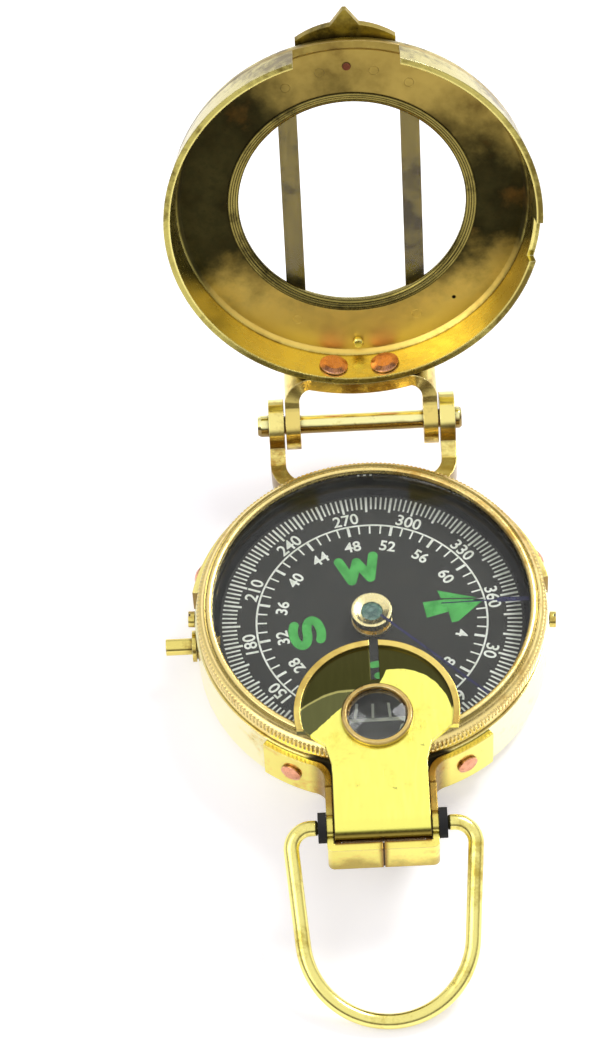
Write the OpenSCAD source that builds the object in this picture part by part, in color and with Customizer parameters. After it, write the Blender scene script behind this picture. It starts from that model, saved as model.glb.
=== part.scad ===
// Engineer compass with a hinged lid, a folding lens eyepiece and a thumb ring.
// Millimetres. The origin is the centre of the case underside, +Z is up, the lid hinge lies
// toward +Y and the eyepiece and thumb ring lie toward -Y. Left is -X, seen from the eyepiece.
// The lid stands open, the eyepiece lies folded on the dial glass and the ring hangs down.

/* [Case] */
// Outer diameter of the case wall
case_d = 60.8; // [58:0.2:64]
// Height of the case wall
case_h = 13.6; // [13:0.1:16]
// Thickness of the case wall
case_wall = 1.3; // [1.1:0.1:1.6]
// Thickness of the case floor
case_floor = 1.6; // [1.2:0.1:2.2]
// Radius of the rounded edge between wall and floor
case_corner = 3.5; // [2.5:0.5:5]

/* [Bezel] */
// Step from the case wall in to the milled bezel rim
bezel_step = 0.4; // [0:0.1:1]
// Height of the milled rim below its sloping face
bezel_rim_h = 3; // [2.4:0.1:4]
// Height of the sloping face of the bezel
bezel_face_h = 1.3; // [0.8:0.1:1.8]
// Width of the bezel from its rim to the view
bezel_w = 2.8; // [2.6:0.1:3.6]
// Depth of the bezel spigot inside the case
spigot_h = 2.8; // [2.4:0.1:3.2]
// Thickness of the dial glass
glass_t = 1.5; // [1:0.1:2]
// Height of the spring ring under the dial glass
retainer_h = 1.3; // [0.8:0.1:1.6]
// Shank diameter of the two bezel screws
bezel_screw_d = 1.6; // [1.2:0.1:2]
// Head diameter of the two bezel screws
bezel_screw_head_d = 2.8; // [2.4:0.1:3]

/* [Compass card] */
// Gap between the edge of the card and the edge of the view
card_gap = 0.9; // [0.6:0.1:2]
// Thickness of the card
card_t = 0.6; // [0.4:0.1:1]
// Depth of the underside of the card below the case rim
card_drop = 2.6; // [2.2:0.1:3]
// Heading of the north mark, clockwise from the sight line
card_heading = 80; // [0:1:359]
// Diameter of the two flanges of the hub
hub_d = 7; // [6:0.2:9]
// Diameter of the jewel on top of the hub
jewel_d = 3.7; // [3:0.1:4.5]
// Height of the hub above the card
hub_h = 3.4; // [2.8:0.1:3.6]
// Length of each bar magnet
magnet_l = 28; // [20:1:30]
// Width of each bar magnet
magnet_w = 2.4; // [2:0.2:4]
// Height of each bar magnet
magnet_h = 1.6; // [1:0.1:2]
// Diameter of the steel pivot needle
needle_d = 1.2; // [0.8:0.1:1.6]
// Diameter of the brass post that holds the needle
post_d = 4.4; // [3.6:0.2:5]

/* [Card brake] */
// Diameter of the brake plunger
plunger_d = 2.9; // [2:0.1:3.2]
// Depth of the plunger axis below the case rim
plunger_drop = 6; // [5.6:0.1:6.6]
// Place of the plunger along the case, from its centre
plunger_y = -1; // [-4:0.5:4]
// Length of plunger outside the case wall
plunger_out = 5.4; // [4:0.2:7]
// Distance that the plunger can be pressed in
plunger_travel = 0.8; // [0.5:0.1:1]
// Height of the brake lever pivot above the case floor
lever_pivot_h = 2.2; // [2:0.1:2.4]
// Diameter of the brake lever pin
lever_pin_d = 1.2; // [1:0.1:1.4]

/* [Lid hinge] */
// Distance of the hinge axis behind the case wall
hinge_out = 10.2; // [9.6:0.1:13]
// Height of the hinge axis above the case rim
hinge_rise = 0.5; // [0:0.1:1.4]
// Diameter of the hinge pin
hinge_pin_d = 3.3; // [2.6:0.1:4]
// Radius of the eyes on the case strap
strap_eye_r = 4.7; // [4:0.1:5.5]
// Radius of the eyes on the lid bracket
lid_eye_r = 4.4; // [3.6:0.1:5]
// Thickness of each eye of the case strap
strap_eye_t = 2.7; // [2:0.1:3.5]
// Thickness of each eye of the lid bracket
lid_eye_t = 2.6; // [2:0.1:3.5]
// Width over the two eyes of the lid bracket
lid_bracket_w = 27; // [22:0.5:30]
// Thickness of the case strap
strap_t = 1.1; // [0.8:0.1:1.5]
// Height of the case strap
strap_h = 5.2; // [4:0.2:7]

/* [Lid] */
// Angle by which the lid stands open
lid_open = 110.7; // [90:0.1:150]
// Gap between the closed lid and the bezel rim
lid_fit = 1.5; // [1.3:0.1:2.2]
// Depth of the lid, from its rim to its inner face
lid_depth = 7; // [6.8:0.1:9]
// Thickness of the lid wall
lid_wall = 1.15; // [1:0.05:1.3]
// Thickness of the lid plate
lid_plate_t = 2.6; // [2.2:0.1:3.2]
// Amount by which the lid wall narrows toward the plate
lid_inset = 1.1; // [0.6:0.1:1.3]
// Radius of the outer edge of the lid
lid_edge_r = 2; // [1:0.1:2.4]
// Width of the lid from its outer edge to the opening in its plate
lid_frame_w = 12.05; // [11.6:0.05:13]
// Width by which the window ring stands inside that opening
window_lap = 0.9; // [0.6:0.1:1.4]
// Width of the seat for the window glass in the lid plate
window_seat = 1; // [0.8:0.1:1.6]
// Thickness of the window glass
window_glass_t = 1.1; // [0.8:0.1:1.3]
// Width of the gap in the lid wall for the eyepiece stem
lid_gap_w = 18; // [17:0.1:19]
// Distance of the small side notch behind the middle of the lid
side_notch_y = 5.5; // [0:0.5:8]
// Width of the small notch in the right side of the lid rim
side_notch_w = 7.5; // [4:0.5:10]
// Depth of the small notch
side_notch_h = 2; // [1:0.5:3]
// Width of each guard bar across the window
guard_w = 3.3; // [2.5:0.1:4.5]
// Thickness of each guard bar
guard_t = 1; // [0.6:0.1:1.6]
// Distance between the two guard bars, centre to centre
guard_pitch = 21; // [16:0.5:24]
// Length of guard bar on the lid plate at each side of the opening
guard_lap = 4.4; // [3.6:0.1:5]
// Gap between the thumb tab plate and each guard bar
tab_gap = 0.3; // [0.2:0.05:3]
// Amount by which the rounded end of the thumb tab stands past the lid wall
tab_out = 0.55; // [0.3:0.05:2]
// Thickness of the thumb tab
tab_t = 1.5; // [1:0.1:2]
// Length of the pointed nose on the thumb tab
tab_nose_l = 2.6; // [2:0.1:4]
// Distance of the stud behind the opening in the lid plate
stud_back = 7.4; // [5:0.1:8]
// Distance of the copper pin in front of that opening
pin_front = 6; // [4:0.1:7]
// Diameter of the stud behind the window
stud_d = 1.9; // [1.4:0.1:2.4]
// Diameter of the copper pin in front of the window
sight_pin_d = 1.4; // [1:0.1:1.6]

/* [Eyepiece] */
// Diameter of the round eyepiece plate
plate_d = 27.8; // [24:0.2:29]
// Thickness of the eyepiece plate
plate_t = 1; // [0.8:0.1:1.2]
// Height of the raised rim above the plate
plate_rim_h = 0.7; // [0.3:0.1:0.8]
// Width of the raised rim
plate_rim_w = 1.1; // [0.8:0.1:1.6]
// Distance of the middle of the round plate from the eyepiece pivot
plate_reach = 20.2; // [18:0.1:21]
// Distance of the lens from the eyepiece pivot
lens_reach = 19.4; // [18:0.1:20]
// Width of the eyepiece stem
stem_w = 15.9; // [14:0.1:16]
// Width of the sighting slot
slot_w = 1.5; // [1:0.1:2]
// Length of the sighting slot
slot_l = 7.5; // [4:0.1:7.6]
// Outer diameter of the lens cell
cell_d = 12.1; // [10:0.1:13]
// Diameter of the lens
lens_d = 10; // [8:0.1:10.4]
// Rise of the domed face of the lens
lens_rise = 0.7; // [0.4:0.1:0.9]

/* [Front bracket] */
// Distance of the eyepiece and ring pivot in front of the case wall
pivot_out = 13; // [12:0.2:17]
// Radius of the rounded tail of the eyepiece about its pivot
knuckle_r = 2.8; // [2.4:0.1:3]
// Thickness of the bracket sheet
bracket_t = 1.1; // [0.9:0.05:1.3]
// Height of the bracket arms on the case
arm_h = 9; // [7:0.2:9.2]
// Height of the folded front wall of the bracket
front_wall_h = 6; // [4:0.1:7]
// Angle from the front to the rivet of each bracket arm
arm_rivet_angle = 28; // [25:1:34]
// Angle from the front to the end of each bracket arm
arm_end_angle = 38; // [36:1:44]
// Diameter of the copper rivet heads on the case
rivet_head_d = 3.6; // [3:0.1:4.2]

/* [Thumb ring] */
// Diameter of the ring wire
ring_wire_d = 2.6; // [2:0.1:3]
// Half the width of the ring at its shoulders, to the wire centre
ring_half_w = 15.2; // [14.8:0.1:18]
// Length of the ring from its pivot to the wire centre of its end
ring_l = 32; // [28:0.2:36]
// Radius of the round end of the ring, to the wire centre
ring_end_r = 14; // [11:0.1:14.5]
// Radius of the shoulders of the ring, to the wire centre
ring_shoulder_r = 3.4; // [3:0.1:4]
// Diameter of the thin ends of the wire, which are the pivot
spigot_d = 2; // [1.4:0.1:2]
// Diameter of the black washers
washer_d = 5.1; // [4.6:0.1:5.6]
// Thickness of the black washers
washer_t = 1.4; // [1:0.1:1.6]

/* [Hidden] */
$fn = 96;

// Gap between seated faces of one assembly
seat = 0.02;
// Radial clearance of a part that turns or slides in a hole
running = 0.05;
// Gap between parts that pass each other
pass = 0.3;
// Length by which a cutting tool reaches past the body it cuts
over = 1;

case_r = case_d / 2;
case_in_r = case_r - case_wall;
bezel_r = case_r - bezel_step;
bezel_view_r = bezel_r - bezel_w;
card_r = bezel_view_r - card_gap;
lid_r = bezel_r + lid_fit + lid_wall;
hinge_y = case_r + hinge_out;
hinge_z = case_h + hinge_rise;
card_z = case_h - card_drop;
plunger_z = case_h - plunger_drop;

// Bezel levels, from the case rim up
bezel_lift = 0.1;
bezel_z = case_h + bezel_lift;
bezel_edge_z = bezel_z + bezel_rim_h;
bezel_top_z = bezel_edge_z + bezel_face_h;
bezel_lip_t = 1.3;
spigot_r = case_in_r - running;
spigot_wall = 1.05;
bore_r = spigot_r - spigot_wall;
glass_z = bezel_top_z - bezel_lip_t - glass_t;
groove_h = 1.2;
groove_depth = 0.5;
groove_z = bezel_z - spigot_h / 2 - groove_h / 2;
bezel_screw_z = groove_z + groove_h / 2;
bezel_screw_angles = [177.2, -3.6];
screw_head_h = 1.1;

// Card levels, from its underside up
card_top_z = card_z + card_t;
hub_r = hub_d / 2;
hub_top_z = card_top_z + hub_h;
hub_flange_h = 0.7;
hub_disc_h = 1.5;
hub_waist_r = hub_r * 0.66;
hub_boss_r = 3;
hub_boss_h = 0.6;
jewel_h = 1.1;
jewel_sink = 0.2;
jewel_z = hub_top_z - jewel_h - jewel_sink;
needle_tip_gap = 0.05;
needle_hole_floor = 2;
magnet_gap = 0.4;
magnet_offset = hub_boss_r + magnet_gap + magnet_w / 2;

// Card brake
lever_z = case_floor + lever_pivot_h;
lever_arm = plunger_z - lever_z;
lever_in = 10.1;
lever_x = lever_in - case_in_r;
lever_w = 7;
lever_t = 1.2;
pad_back = 2.2;
pad_gap = 0.45;
lug_t = 1;
lug_r = 1.4;
foot_t = 0.6;
tip_gap = 0.15;
plunger_tip_x = lever_x - lever_t / 2 - tip_gap;
plunger_tip_d = 1.2;
collar_step = 0.9;
plunger_collar_d = plunger_d + 2 * collar_step;
collar_t = 0.8;
abutment_gap = 3.2;
abutment_x = lever_x - abutment_gap;
abutment_t = 1;
bush_wall = 0.8;
bush_d = plunger_d + 2 * bush_wall;
bush_flange_step = 0.5;
bush_flange_d = bush_d + 2 * bush_flange_step;
bush_flange_t = 0.7;
bush_flange_gap = 0.1;
wall_x = -sqrt(case_r * case_r - plunger_y * plunger_y);
bush_in = 2;
bush_in_x = wall_x + case_wall + bush_in;
collar_x = bush_in_x + seat;
spring_wall = 0.5;

// Lid, given closed over the case and then opened about the hinge
lid_rim_rise = 0.6;
lid_rim_z = case_h + lid_rim_rise;
lid_face_z = lid_rim_z + lid_depth;
lid_top_z = lid_face_z + lid_plate_t;
lid_shoulder_z = lid_top_z - lid_edge_r;
lid_shoulder_r = lid_r - lid_inset;
lid_lean = atan(lid_inset / (lid_shoulder_z - lid_rim_z));
window_hole_r = lid_r - lid_frame_w;
window_r = window_hole_r - window_lap;
window_seat_r = window_hole_r + window_seat;
window_lip_t = 0.8;
window_glass_z = lid_top_z - window_lip_t - window_glass_t;
ring_lip = 0.2;
guard_l = 2 * (window_hole_r + guard_lap);
guard_rivet_end = 2;
guard_rivet_y = guard_l / 2 - guard_rivet_end;
guard_rivet_d = 1.6;
guard_rivet_head_d = 2.6;
tab_reach = lid_r + tab_out;
tab_end_r = 14.7;
tab_w = guard_pitch - guard_w - 2 * tab_gap;
tab_back = 1.6;
tab_back_y = -(window_seat_r + tab_back);
tab_rivet_back = 2.4;
tab_rivet_y = tab_back_y - tab_rivet_back;
tab_rivet_x = 4.6;
stud_y = window_hole_r + stud_back;
stud_h = 1.2;
sight_pin_y = -window_hole_r - pin_front;
sight_pin_h = 0.2;
sight_hole_h = 1.2;
hole_floor_gap = 0.1;
lid_rivet_angle = 8.4;
lid_rivet_d = 2;
lid_rivet_head_d = 5;
lid_rivet_rise = 3.3;
lid_rivet_z = lid_rim_z + lid_rivet_rise;
base_t = 2.1;
base_h = 6.4;
lid_eye_x = lid_bracket_w / 2 - lid_eye_t;
strap_eye_x = lid_bracket_w / 2 + pass;
pin_head_step = 0.3;
pin_head_d = hinge_pin_d + 2 * pin_head_step;
pin_head_l = 2;
pin_reach = 0.5;

// Case strap
strap_r = case_r + seat;
strap_drop = 0.6;
strap_top_z = case_h - strap_drop;
strap_z = strap_top_z - strap_h;
strap_end_angle = 12;
strap_rivet_angle = 21.5;
rivet_d = 1.6;
rivet_head_t = 0.8;
rivet_lap = 0.2;

// Eyepiece and front bracket
pivot_y = -case_r - pivot_out;
plate_z = bezel_top_z + pass;
plate_top_z = plate_z + plate_t;
pivot_z = plate_top_z - knuckle_r;
plate_y = pivot_y + plate_reach;
lens_y = pivot_y + lens_reach;
plate_r = plate_d / 2;
shoulder_x = plate_r * 0.88;
shoulder_back = 3.2;
shoulder_y = plate_y - shoulder_back;
shoulder_l = 6.4;
shoulder_lap = 0.1;
lid_in_at_plate_r = lid_r - lid_wall - lid_inset * (plate_top_z - lid_rim_z) / (lid_shoulder_z - lid_rim_z);
knee_gap = 0.1;
knee_x = lid_gap_w / 2 - knee_gap;
knee_y = -sqrt(pow(lid_in_at_plate_r - pass, 2) - knee_x * knee_x);
cell_rise = 1;
cell_top_z = plate_top_z + cell_rise;
cell_lip = 0.5;
cell_step = 0.4;
cell_floor_t = 0.3;
flange_t = 1.05;
flange_l = 9.5;
cheek_gap = 0.2;
cheek_in_x = stem_w / 2 + cheek_gap;
cheek_out_x = cheek_in_x + bracket_t;
front_gap = 0.4;
front_in_y = pivot_y - knuckle_r - front_gap;
front_fold = 0.4;
front_out_y = front_in_y - bracket_t - front_fold;
front_rise = 0.3;
front_top_z = pivot_z + front_rise;
front_low_z = front_top_z - front_wall_h;
arm_drop = 0.4;
arm_top_z = case_h - arm_drop;
arm_low_z = arm_top_z - arm_h;
arm_in_r = case_r + seat;
arm_out_r = arm_in_r + bracket_t;
bend_r = 3;
bend_x = cheek_out_x + bend_r;
bend_y = -sqrt(pow(arm_out_r + bend_r, 2) - bend_x * bend_x);
bend_lap = 0.05;
bend_lap_far = bend_lap * (arm_out_r + bend_r) / bend_r;
seam = 0.26;
cheek_rise_gap = 0.8;
cheek_rise_run = 2.4;
cheek_rise_y = -(lid_r + cheek_rise_gap);
arm_rivet_z = arm_low_z + arm_h * 0.52;

// Thumb ring: its wire centre ends just above the table
ring_drop = pivot_z - ring_wire_d / 2 - 0.1;
ring_tilt = asin(ring_drop / ring_l);
washer_in_x = cheek_out_x + seat;
washer_out_x = washer_in_x + washer_t;
spigot_end_x = stem_w / 2 - flange_t;
shoulder_cx = ring_half_w - ring_shoulder_r;
end_cy = ring_l - ring_end_r;
leg_run = norm([shoulder_cx, end_cy - ring_shoulder_r]);
leg_turn = acos((ring_end_r - ring_shoulder_r) / leg_run) - atan2(end_cy - ring_shoulder_r, shoulder_cx);

BRASS = "gold";
PALE_BRASS = "khaki";
COPPER = "sandybrown";
STEEL = "silver";

// Round-edged cup outline for a revolve: radius, height and edge radius
module cup_profile(r, h, edge) {
    square([r - edge, h]);
    translate([0, edge]) square([r, h - edge]);
    translate([r - edge, edge]) circle(edge);
}

// Places a child on a ray from the case centre: +Z of the child points outward
module on_ray(angle, r, z) {
    rotate([0, 0, angle]) translate([r, 0, z]) rotate([0, 90, 0]) children();
}

// Turns what is modelled in the closed lid to the open lid
module opened() {
    translate([0, hinge_y, hinge_z]) rotate([-lid_open, 0, 0]) translate([0, -hinge_y, -hinge_z]) children();
}

// Lays a profile drawn in Y and Z across X, centred at x, with thickness t
module across(x, t) {
    translate([x - t / 2, 0, 0]) rotate([90, 0, 90]) linear_extrude(t) children();
}

// Domed rivet head: a short rim with a low cap
module rivet_head(d, t) {
    cylinder(d = d, h = t / 2);
    translate([0, 0, t / 2]) cylinder(d1 = d, d2 = d * 0.6, h = t / 2);
}

// Spun case, with the holes for rivets, bezel screws and the plunger bush
module case_cup() {
    color(PALE_BRASS) difference() {
        rotate_extrude() difference() {
            cup_profile(case_r, case_h, case_corner);
            translate([0, case_floor]) cup_profile(case_in_r, case_h, case_corner - case_wall);
        }
        for (side = [-1, 1]) {
            on_ray(90 + side * (90 - strap_rivet_angle), case_in_r - over, strap_z + strap_h / 2)
                cylinder(d = rivet_d + 2 * seat, h = case_wall + 2 * over);
            on_ray(-90 + side * arm_rivet_angle, case_in_r - over, arm_rivet_z)
                cylinder(d = rivet_d + 2 * seat, h = case_wall + 2 * over);
        }
        for (angle = bezel_screw_angles)
            on_ray(angle, case_in_r - over, bezel_screw_z)
                cylinder(d = bezel_screw_d + 2 * seat, h = case_wall + 2 * over);
        translate([wall_x - over, plunger_y, plunger_z]) rotate([0, 90, 0])
            cylinder(d = bush_d + 2 * seat, h = case_wall + 2 * over);
    }
}

// Turned post on the case floor that holds the needle
module pivot_post() {
    flange_out = 1.5;
    flange_h = 1.2;
    card_room = 1.4;
    color(BRASS) difference() {
        union() {
            translate([0, 0, case_floor]) cylinder(r = hub_r + flange_out, h = flange_h);
            translate([0, 0, case_floor])
                cylinder(d = post_d, h = card_z - hub_boss_h - card_room - case_floor);
        }
        translate([0, 0, case_floor + needle_hole_floor]) cylinder(d = needle_d + 2 * seat, h = card_z);
    }
}

// Steel needle with a pointed tip under the jewel
module pivot_needle() {
    tip_h = 1.2;
    tip_d = 0.2;
    from_z = case_floor + needle_hole_floor;
    tip_z = jewel_z - needle_tip_gap - tip_h;
    color(STEEL) {
        translate([0, 0, from_z]) cylinder(d = needle_d, h = tip_z - from_z);
        translate([0, 0, tip_z]) cylinder(d1 = needle_d, d2 = tip_d, h = tip_h);
    }
}

// Foot with two lugs for the brake lever and an upright end that the plunger spring bears on
module lever_bracket() {
    reach = lever_w / 2 + pass + lug_t;
    back_x = abutment_x - abutment_t;
    half_w = 2.4;
    above_rod = 1.8;
    foot_front = 2;
    color(BRASS) difference() {
        union() {
            translate([back_x, plunger_y - reach, case_floor])
                cube([lever_x + foot_front - back_x, 2 * reach, foot_t]);
            translate([back_x, plunger_y - half_w, case_floor])
                cube([abutment_t, 2 * half_w, plunger_z + above_rod - case_floor]);
            for (side = [-1, 1])
                translate([lever_x, plunger_y + side * (reach - lug_t / 2), 0]) rotate([90, 0, 0])
                    translate([0, 0, -lug_t / 2]) linear_extrude(lug_t) union() {
                        translate([-lug_r, case_floor]) square([2 * lug_r, lever_pivot_h]);
                        translate([0, lever_z]) circle(lug_r);
                    }
        }
        translate([lever_x, plunger_y + reach + over, lever_z]) rotate([90, 0, 0])
            cylinder(d = lever_pin_d + 2 * seat, h = 2 * (reach + over));
        translate([back_x - over, plunger_y, plunger_z]) rotate([0, 90, 0])
            cylinder(d = plunger_tip_d + 2 * running, h = abutment_t + 2 * over);
    }
}

// Pin through the lugs, on which the brake lever rocks
module lever_pin() {
    overhang = 0.2;
    reach = lever_w / 2 + pass + lug_t + overhang;
    color(STEEL) translate([lever_x, plunger_y + reach, lever_z]) rotate([90, 0, 0])
        cylinder(d = lever_pin_d, h = 2 * reach);
}

// Rocking lever: a round barrel, a tall leaf that the plunger pushes and two pads under the card
module brake_lever() {
    pad_z = card_z - pad_gap;
    pad_w = 1.6;
    pad_t = 0.8;
    barrel_wall = 0.7;
    pad_y = lever_w / 2 - pad_w / 2;
    color("darkgoldenrod") difference() {
        union() {
            translate([lever_x, plunger_y + lever_w / 2, lever_z]) rotate([90, 0, 0])
                cylinder(r = lever_pin_d / 2 + barrel_wall, h = lever_w);
            translate([lever_x - lever_t / 2, plunger_y - lever_w / 2, lever_z])
                cube([lever_t, lever_w, pad_z - lever_z - pad_t / 2]);
            for (side = [-1, 1])
                translate([lever_x - pad_back, plunger_y + side * pad_y - pad_w / 2, pad_z - pad_t])
                    cube([pad_back + lever_t / 2, pad_w, pad_t]);
        }
        translate([lever_x, plunger_y + lever_w, lever_z]) rotate([90, 0, 0])
            cylinder(d = lever_pin_d + 2 * running, h = 2 * lever_w);
    }
}

// Flanged bush in the case wall that guides the plunger
module plunger_bush() {
    color(BRASS) difference() {
        translate([wall_x - bush_flange_t - bush_flange_gap, plunger_y, plunger_z]) rotate([0, 90, 0]) {
            cylinder(d = bush_flange_d, h = bush_flange_t);
            cylinder(d = bush_d, h = bush_in_x - wall_x + bush_flange_t + bush_flange_gap);
        }
        translate([wall_x - 2 * over, plunger_y, plunger_z]) rotate([0, 90, 0])
            cylinder(d = plunger_d + 2 * running, h = 4 * over + bush_in_x - wall_x);
    }
}

// Push rod with a flat outer end, a collar that keeps it in the case and a thin inner tip
module plunger() {
    out_x = wall_x - plunger_out;
    color(BRASS) translate([out_x, plunger_y, plunger_z]) rotate([0, 90, 0]) {
        cylinder(d = plunger_d, h = collar_x - out_x);
        translate([0, 0, collar_x - out_x]) cylinder(d = plunger_collar_d, h = collar_t);
        translate([0, 0, collar_x + collar_t - out_x])
            cylinder(d = plunger_tip_d, h = plunger_tip_x - collar_x - collar_t);
    }
}

// Return spring between the collar and the upright of the lever bracket, as the sleeve its turns fill
module plunger_spring() {
    inner = plunger_tip_d / 2 + pass / 2;
    from_x = collar_x + collar_t + seat;
    spring_l = abutment_x - abutment_t - seat - from_x;
    color(STEEL) translate([from_x, plunger_y, plunger_z]) rotate([0, 90, 0]) difference() {
        cylinder(r = inner + spring_wall, h = spring_l);
        translate([0, 0, -over]) cylinder(r = inner, h = spring_l + 2 * over);
    }
}

// Turning bezel: a milled rim over a sloping face, and a grooved spigot inside the case
module bezel_ring() {
    bead_r = bezel_view_r + 1;
    chamfer = 0.3;
    color(BRASS) rotate_extrude() polygon([
        [bore_r, bezel_z - spigot_h],
        [spigot_r, bezel_z - spigot_h],
        [spigot_r, groove_z],
        [spigot_r - groove_depth, groove_z],
        [spigot_r - groove_depth, groove_z + groove_h],
        [spigot_r, groove_z + groove_h],
        [spigot_r, bezel_z],
        [bezel_r - chamfer, bezel_z],
        [bezel_r, bezel_z + chamfer],
        [bezel_r, bezel_edge_z - chamfer],
        [bezel_r - chamfer, bezel_edge_z],
        [bead_r + 0.5, bezel_top_z - 0.25],
        [bead_r + 0.2, bezel_top_z - 0.45],
        [bead_r, bezel_top_z - 0.1],
        [bead_r - 0.4, bezel_top_z],
        [bezel_view_r + 0.2, bezel_top_z - 0.1],
        [bezel_view_r, bezel_top_z - 0.6],
        [bezel_view_r, glass_z + glass_t],
        [bore_r, glass_z + glass_t],
    ]);
}

// Glass that turns with the bezel
module dial_glass() {
    color("lightcyan", 0.3) translate([0, 0, glass_z]) cylinder(r = bore_r - seat, h = glass_t - seat);
}

// Split spring ring that holds the glass up under the lip, with its gap at the back
module glass_retainer() {
    ring_w = 0.9;
    gap_angle = 6;
    color(BRASS) rotate([0, 0, 90 + gap_angle / 2]) rotate_extrude(angle = 360 - gap_angle)
        translate([bore_r - seat - ring_w, glass_z - seat - retainer_h]) square([ring_w, retainer_h]);
}

// Two screws through the case wall whose tips ride in the groove of the bezel
module bezel_screws() {
    tip_gap_r = 0.1;
    tip_r = spigot_r - groove_depth + tip_gap_r;
    tip_d = bezel_screw_d - 0.6;
    lap = 0.1;
    head_r = case_r + lap;
    screw_slot_w = 0.5;
    screw_slot_h = 0.4;
    color(BRASS) for (angle = bezel_screw_angles) difference() {
        union() {
            on_ray(angle, tip_r, bezel_screw_z) cylinder(d = tip_d, h = case_in_r + lap - tip_r);
            on_ray(angle, case_in_r, bezel_screw_z) cylinder(d = bezel_screw_d, h = head_r + lap - case_in_r);
            on_ray(angle, head_r, bezel_screw_z) cylinder(d = bezel_screw_head_d, h = screw_head_h);
        }
        on_ray(angle, head_r + screw_head_h - screw_slot_h, bezel_screw_z)
            translate([-bezel_screw_head_d, -screw_slot_w / 2, 0])
                cube([2 * bezel_screw_head_d, screw_slot_w, over]);
    }
}

// Thin disc that carries the printed scales
module card_disc() {
    color("dimgray") difference() {
        translate([0, 0, card_z]) cylinder(r = card_r, h = card_t);
        translate([0, 0, card_z - over]) cylinder(r = hub_waist_r + seat, h = card_t + 2 * over);
    }
}

// Turned hub: a boss under the card, a flange on it, a waist and a dished upper disc
module card_hub() {
    bore_d = needle_d + 1;
    dish_r = hub_r - 0.5;
    color(BRASS) rotate_extrude() polygon([
        [bore_d / 2, card_z - hub_boss_h],
        [hub_boss_r, card_z - hub_boss_h],
        [hub_boss_r, card_z - seat],
        [hub_waist_r, card_z - seat],
        [hub_waist_r, card_top_z + seat],
        [hub_r, card_top_z + seat],
        [hub_r, card_top_z + hub_flange_h],
        [hub_waist_r, card_top_z + hub_flange_h],
        [hub_waist_r, hub_top_z - hub_disc_h],
        [hub_r, hub_top_z - hub_disc_h],
        [hub_r, hub_top_z],
        [dish_r, hub_top_z],
        [jewel_d / 2 + seat, hub_top_z - 0.4],
        [jewel_d / 2 + seat, jewel_z - seat],
        [bore_d / 2, jewel_z - seat],
    ]);
}

// Jewel that bears on the needle, with a low dome on top
module hub_jewel() {
    dome_h = 0.35;
    color("teal") difference() {
        union() {
            translate([0, 0, jewel_z]) cylinder(d = jewel_d, h = jewel_h - dome_h);
            translate([0, 0, jewel_z + jewel_h - dome_h])
                cylinder(d1 = jewel_d, d2 = jewel_d * 0.6, h = dome_h);
        }
        translate([0, 0, jewel_z - 0.1]) cylinder(d1 = 0.8, d2 = 0.3, h = 0.3);
    }
}

// Two bar magnets under the card, along its north line
module card_magnets() {
    color("slategray") rotate([0, 0, 90 - card_heading]) for (side = [-1, 1])
        translate([-magnet_l / 2, side * magnet_offset - magnet_w / 2, card_z - magnet_h])
            cube([magnet_l, magnet_w, magnet_h]);
}

// One eye of the case strap in side view, with its neck down to the strap
module strap_eye_profile() {
    neck_y = case_r * 0.8;
    neck_rise = 0.6;
    neck_run = 3;
    polygon([
        [neck_y, strap_z],
        [hinge_y - strap_eye_r * 0.5, strap_z + neck_rise],
        [hinge_y + strap_eye_r * 0.5, hinge_z - strap_eye_r * 0.85],
        [hinge_y, hinge_z + strap_eye_r * 0.4],
        [hinge_y - strap_eye_r * 0.95, hinge_z - 0.4],
        [hinge_y - strap_eye_r - neck_run, strap_top_z],
        [neck_y, strap_top_z],
    ]);
    translate([hinge_y, hinge_z]) circle(strap_eye_r);
}

// Strap round the back of the case, with the two eyes that hold the hinge pin
module hinge_strap() {
    color(PALE_BRASS) difference() {
        union() {
            rotate([0, 0, strap_end_angle]) rotate_extrude(angle = 180 - 2 * strap_end_angle)
                translate([strap_r, strap_z]) square([strap_t, strap_h]);
            for (side = [-1, 1])
                across(side * (strap_eye_x + strap_eye_t / 2), strap_eye_t) strap_eye_profile();
        }
        cylinder(r = strap_r, h = case_h + over);
        for (side = [-1, 1])
            on_ray(90 + side * (90 - strap_rivet_angle), case_r - over, strap_z + strap_h / 2)
                cylinder(d = rivet_d + 2 * seat, h = strap_t + 2 * over);
        translate([-strap_eye_x - 2 * strap_eye_t, hinge_y, hinge_z]) rotate([0, 90, 0])
            cylinder(d = hinge_pin_d + 2 * seat, h = 2 * (strap_eye_x + 2 * strap_eye_t));
    }
}

// Copper rivets through strap and case wall
module strap_rivets() {
    color(COPPER) for (side = [-1, 1])
        on_ray(90 + side * (90 - strap_rivet_angle), case_in_r + seat, strap_z + strap_h / 2) {
            cylinder(d = rivet_d, h = case_wall + strap_t + rivet_lap);
            translate([0, 0, case_wall + strap_t + seat]) rivet_head(rivet_head_d, rivet_head_t);
        }
}

// Hinge pin, riveted over at both ends
module hinge_pin() {
    half = strap_eye_x + strap_eye_t + seat;
    color(BRASS) translate([0, hinge_y, hinge_z]) rotate([0, 90, 0]) {
        translate([0, 0, -half - pin_reach]) cylinder(d = hinge_pin_d, h = 2 * (half + pin_reach));
        translate([0, 0, -half - pin_head_l]) cylinder(d1 = hinge_pin_d, d2 = pin_head_d, h = 0.6);
        translate([0, 0, -half - pin_head_l + 0.6]) cylinder(d = pin_head_d, h = pin_head_l - 0.6);
        translate([0, 0, half]) cylinder(d = pin_head_d, h = pin_head_l * 0.4);
        translate([0, 0, half + pin_head_l * 0.4]) cylinder(d1 = pin_head_d, d2 = hinge_pin_d, h = 0.4);
    }
}

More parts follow.
